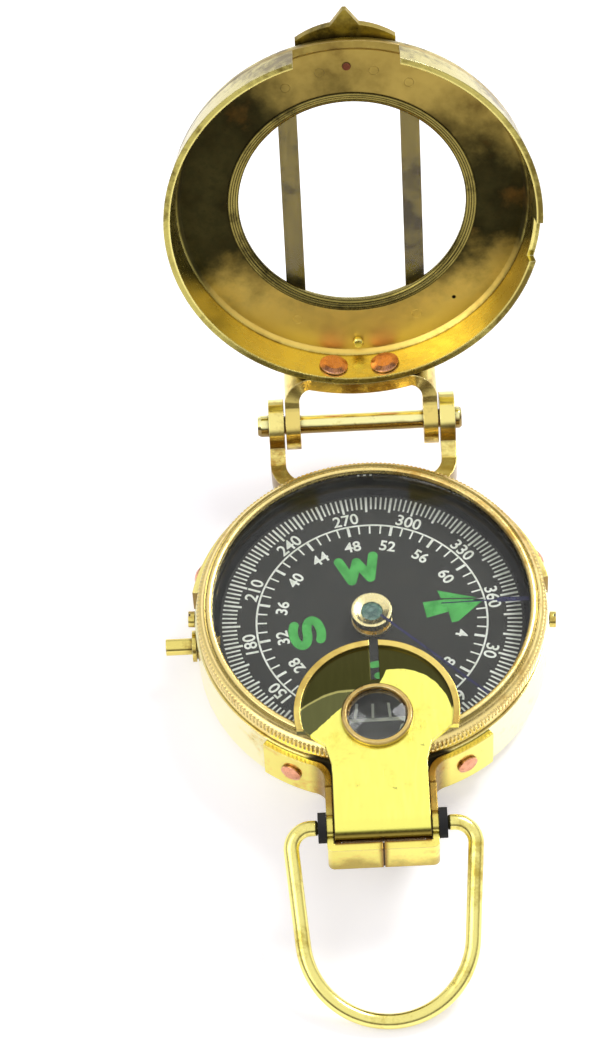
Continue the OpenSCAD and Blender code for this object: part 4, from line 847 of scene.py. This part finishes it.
def tarnished_face(tree, spot, colour, rough, broad, fine):
    """Olive brown on the flat inner face, tarnish with painted shade and reflection: a band of heights
    picks the face, the distance along Y sets how dark it is, and small dark dots of painted shade
    stand for drilled holes."""
    x, y, z = split(tree, spot)
    face = between(tree, z, 0.0203, 0.0209, 0.02135, 0.0216)
    along = plus(tree, y, waver(tree, broad, 0.026))
    warm = ramp(tree, along, 0.008, 0.021)
    outer = ramp(tree, maths(tree, "SUBTRACT", along, times(tree, x, 0.3)), -0.030, -0.012, 0.55, 0.0)
    # Painted shade and reflection with tarnish: olive brown, golden towards the hinge.
    olive = mixed(tree, ramp(tree, fine, 0.35, 0.65), shade(30, 28, 15), shade(46, 41, 21))
    overlay = mixed(tree, most(tree, warm, outer), olive, shade(240, 206, 106))
    overlay = mixed(tree, ramp(tree, broad, 0.58, 0.72, 0.0, 0.6), overlay, shade(104, 74, 32))
    colour = mixed(tree, times(tree, face, 0.96), colour, overlay)
    reach = from_axis(tree, spot)
    inner_wall = times(tree, ramp(tree, reach, 0.0316, 0.0319, 0.9, 0.0), fall(tree, z, 0.0198, 0.0204))
    colour = mixed(tree, inner_wall, colour, mixed(tree, broad, shade(255, 250, 160), shade(240, 214, 112)))
    rough = plus(tree, rough, times(tree, face, 0.14))
    # Painted shade of drilled holes: near-black dots.
    for hole_x, hole_y, hole_r in ((-11.4, 28.5, 0.45), (7.9, 29.8, 0.4), (17.2, 19.9, 0.36)):
        hole = (hole_x * MM, hole_y * MM, 0.0212)
        gap = add(tree, "VectorMath", {0: spot, 1: hole}, out="Value", operation="DISTANCE")
        dot = fall(tree, gap, (hole_r - 0.12) * MM, (hole_r + 0.12) * MM)
        colour = mixed(tree, dot, colour, (0.012, 0.008, 0.004, 1))
    return colour, rough


lid_brass = brass("spun_lid_brass", (192, 180, 98), (116, 102, 48), patches=0.75, roughness=0.2,
                  rings=0.6, grain=(500.0, 500.0, 2200.0), place=lid_place, grime_and_shade=0.8, seed=0.1,
                  more=tarnished_face)
dress("lid_shell", lid_brass)
dress("guard_rivets tab_rivets", lid_brass)
bar_brass = brass("rolled_bar_brass", (166, 146, 62), (92, 80, 32), patches=0.55, roughness=0.4,
                  grain=(1500.0, 120.0, 1500.0), place=lid_place, edge=(0.42, 0.33, 0.12, 1), seed=0.4)
dress("guard_bar_left guard_bar_right thumb_tab", bar_brass)


def turned_lines(tree, spot, colour, rough, broad, fine):
    """Dark lines left by the turning tool, a sine of the distance from the window's axis."""
    reach = from_axis(tree, spot)
    wave = maths(tree, "SINE", times(tree, reach, 2 * math.pi / 0.00042))
    return mixed(tree, ramp(tree, wave, -0.1, 0.7, 0.0, 0.8), colour, shade(26, 24, 12)), rough


step_brass = brass("stepped_ring_brass", (150, 136, 72), (74, 66, 34), patches=0.5, roughness=0.24,
                   place=lid_place, edge=(0.50, 0.42, 0.17, 1), seed=0.6, more=turned_lines)
dress("lid_glass_ring", step_brass)


# Eyepiece
# The folding plate is a disc of polished brass sheet with a raised rim and a sighting slot,
# on a stem with folded sides. Its lens sits in a turned cell and enlarges the scale below.

def tarnished_plate(tree, spot, colour, rough, broad, fine):
    """Painted reflection inside the rim, dark olive: left of the slanting line y - 0.94 x = -16.4 mm and of
    the steep one y - 2.07 x = -19.1 mm at the slot, and farther right outside a circle about (3, -24.6).
    A curved painted light line parts its dark upper from its pale lower share. The raised rim is rubbed
    to a warmer gold, and painted shade lies brown under the rounded tail and on the flanks of the stem."""
    x, y, z = split(tree, spot)
    wave = waver(tree, broad, 0.0035)
    slanting = plus(tree, y, times(tree, x, -0.94), wave)
    left_part = ramp(tree, slanting, -0.01645, -0.01635)
    middle_part = times(tree, ramp(tree, y, -0.0183, -0.0181), ramp(tree, x, -0.0019, -0.0017))
    steep = plus(tree, y, times(tree, x, -2.07), wave)
    edge_at_slot = most(tree, ramp(tree, steep, -0.0192, -0.0190), fall(tree, x, 0.0003, 0.0005))
    left_of_slot = times(tree, most(tree, left_part, middle_part), edge_at_slot)
    from_middle = from_axis(tree, spot, (0.003, -0.0246, 0))
    beyond = ramp(tree, plus(tree, from_middle, times(tree, wave, 0.5)), 0.00955, 0.00965)
    right_of_slot = times(tree, beyond, ramp(tree, x, 0.0010, 0.0014), ramp(tree, y, -0.0235, -0.0225))
    reflection_area = most(tree, left_of_slot, right_of_slot)
    flat_top = fall(tree, z, 0.01938, 0.01945)
    from_left = plus(tree, x, 0.004)
    bowed = plus(tree, y, times(tree, from_left, from_left, 45.0), times(tree, wave, 0.4))
    # Painted reflection: dark olive above, paler below.
    overlay = mixed(tree, ramp(tree, bowed, -0.0187, -0.0184), shade(80, 82, 56), shade(20, 21, 17))
    overlay = mixed(tree, ramp(tree, bowed, -0.0162, -0.0120), overlay, shade(30, 29, 22))
    # Painted highlight: a light line across the painted reflection.
    reflected_light_line = between(tree, bowed, -0.0190, -0.0188, -0.0186, -0.0184)
    overlay = mixed(tree, times(tree, reflected_light_line, 0.75), overlay, shade(186, 178, 112))
    colour = mixed(tree, times(tree, reflection_area, flat_top, 0.95), colour, overlay)
    rim = times(tree, ramp(tree, z, 0.0194, 0.0196), ramp(tree, y, -0.0330, -0.0300))
    colour = mixed(tree, times(tree, rim, 0.85), colour,
                   mixed(tree, ramp(tree, broad, 0.4, 0.65), shade(234, 204, 118), shade(184, 142, 72)))
    # Painted shade: brown under the rounded tail and on the flanks of the stem.
    tail = times(tree, fall(tree, y, -0.0448, -0.0440), fall(tree, z, 0.0180, 0.0186))
    flank = times(tree, ramp(tree, maths(tree, "ABSOLUTE", x), 0.00778, 0.00790),
                  fall(tree, y, -0.035, -0.034))
    stem_shade = times(tree, most(tree, tail, flank), 0.85)
    return mixed(tree, stem_shade, colour, shade(96, 66, 20)), rough


plate_brass = brass("polished_plate_brass", (255, 250, 124), (236, 218, 92), patches=0.35, roughness=0.2,
                    grain=(1500.0, 160.0, 1500.0), grime_and_shade=0.5, seed=0.35, more=tarnished_plate)
dress("eyepiece_plate", plate_brass)

lip_turn = np.radians(np.linspace(172, 238, 16))
lip_arc = unit(lip_turn)
lip_ring = np.concatenate([2.74 * lip_arc, 2.3 * lip_arc[::-1]]) + (pivot_y, pivot_z)
along_x("rolled_lip", lip_ring, (-6.85, 6.85), plate_brass, "eyepiece", "eyepiece_brass")

cell_brass = brass("turned_cell_brass", (214, 184, 112), (150, 118, 60), patches=0.5, roughness=0.18,
                   rings=0.9, place=(0.0, (0, 24.0, 0)), grime_and_shade=1.0, seed=0.15)
dress("lens_cell", cell_brass)

lens_y, lens_r, lens_low, lens_edge, lens_top = -24.0, 4.98, 18.62, 19.8, 20.48
rise_top, rise_low = lens_top - lens_edge, 0.48


def dome(radius, rise, count=26):
    """Half outline of a spherical cap: distances from the axis and heights above its rim."""
    ball = (radius ** 2 + rise ** 2) / (2 * rise)
    reach = np.linspace(0.03, radius, count)
    return reach, np.sqrt(ball ** 2 - reach ** 2) - (ball - rise)


reach_top, high_top = dome(lens_r, rise_top)
reach_low, high_low = dome(lens_r, rise_low)
lens_outline = np.concatenate([np.stack([reach_low, lens_low + 0.3 - high_low], axis=1),
                               np.stack([reach_top[::-1], lens_edge + high_top[::-1]], axis=1)])
turn = np.linspace(0, 2 * math.pi, 96, endpoint=False)
lens_reach = lens_outline[:, None, 0]
lens_points = np.stack([lens_reach * np.cos(turn), lens_y + lens_reach * np.sin(turn),
                        np.broadcast_to(lens_outline[:, None, 1], (len(lens_outline), len(turn)))], axis=-1)
lens_mesh = grid_mesh("magnifying_lens", lens_points * MM, columns_closed=True, caps=True)
place("magnifying_lens", lens_mesh, clear_glass("polished_lens_glass", (0.99, 0.995, 0.985, 1), 0.01, 1.38),
      "eyepiece", "lens_glass", ["eyepiece_lens"])


# Thumb ring
# One brass wire is bent to a stirrup. Its thin ends pass through black fibre washers and the
# cheeks of the front bracket, where it shares the pivot of the eyepiece.

wire_r, end_r = 1.3, 1.0
half_w, ring_l, round_r, shoulder_r = 15.2, 32.0, 14.0, 3.4
inner_x, wire_x = 6.9, 10.72
shoulder_x, round_y = half_w - shoulder_r, ring_l - round_r
lean = math.acos((round_r - shoulder_r) / math.hypot(shoulder_x, round_y - shoulder_r)) \
    - math.atan2(round_y - shoulder_r, shoulder_x)
bend = np.linspace(math.pi / 2, -lean, 22)
sweep = np.linspace(-lean, -math.pi / 2, 60)
shoulder = shoulder_r * unit(bend) + (shoulder_x, -shoulder_r)
rounding = round_r * unit(sweep) - (0, round_y)
start_x = [inner_x, inner_x + 0.02, wire_x - 0.1, wire_x, wire_x + 0.08, 11.2]
start = np.stack([start_x, np.zeros(len(start_x))], axis=1)
leg = shoulder[-1] + (rounding[0] - shoulder[-1]) * np.linspace(0.04, 0.96, 14)[:, None]
side = np.concatenate([start, shoulder, leg, rounding])
side_r = np.full(len(side), wire_r)
side_r[:len(start_x)] = (0.001, end_r, end_r, end_r, wire_r - 0.08, wire_r)
ring_line = np.concatenate([side, side[-2::-1] * (-1, 1)])
ring_r = np.concatenate([side_r, side_r[-2::-1]])
tilt = math.asin((pivot_z - wire_r - 0.1) / ring_l)
ring_centres = np.stack([ring_line[:, 0], pivot_y + ring_line[:, 1] * math.cos(tilt),
                         pivot_z + ring_line[:, 1] * math.sin(tilt)], axis=1)
ring_side = np.tile((0.0, -math.sin(tilt), math.cos(tilt)), (len(ring_centres), 1))
wire_brass = brass("drawn_wire_brass", (244, 232, 140), (196, 174, 78), patches=0.45, roughness=0.19,
                   grain=(900.0, 160.0, 900.0), grime_and_shade=0.3, seed=0.55)
place("bent_wire_ring", tube("bent_wire_ring", ring_centres, ring_side, ring_r, 28), wire_brass,
      "ring", "ring_brass", ["thumb_ring"])
dress("ring_washers", paint_of("black_fibre", (24, 24, 24), (38, 37, 36), 1600.0, 0.75))
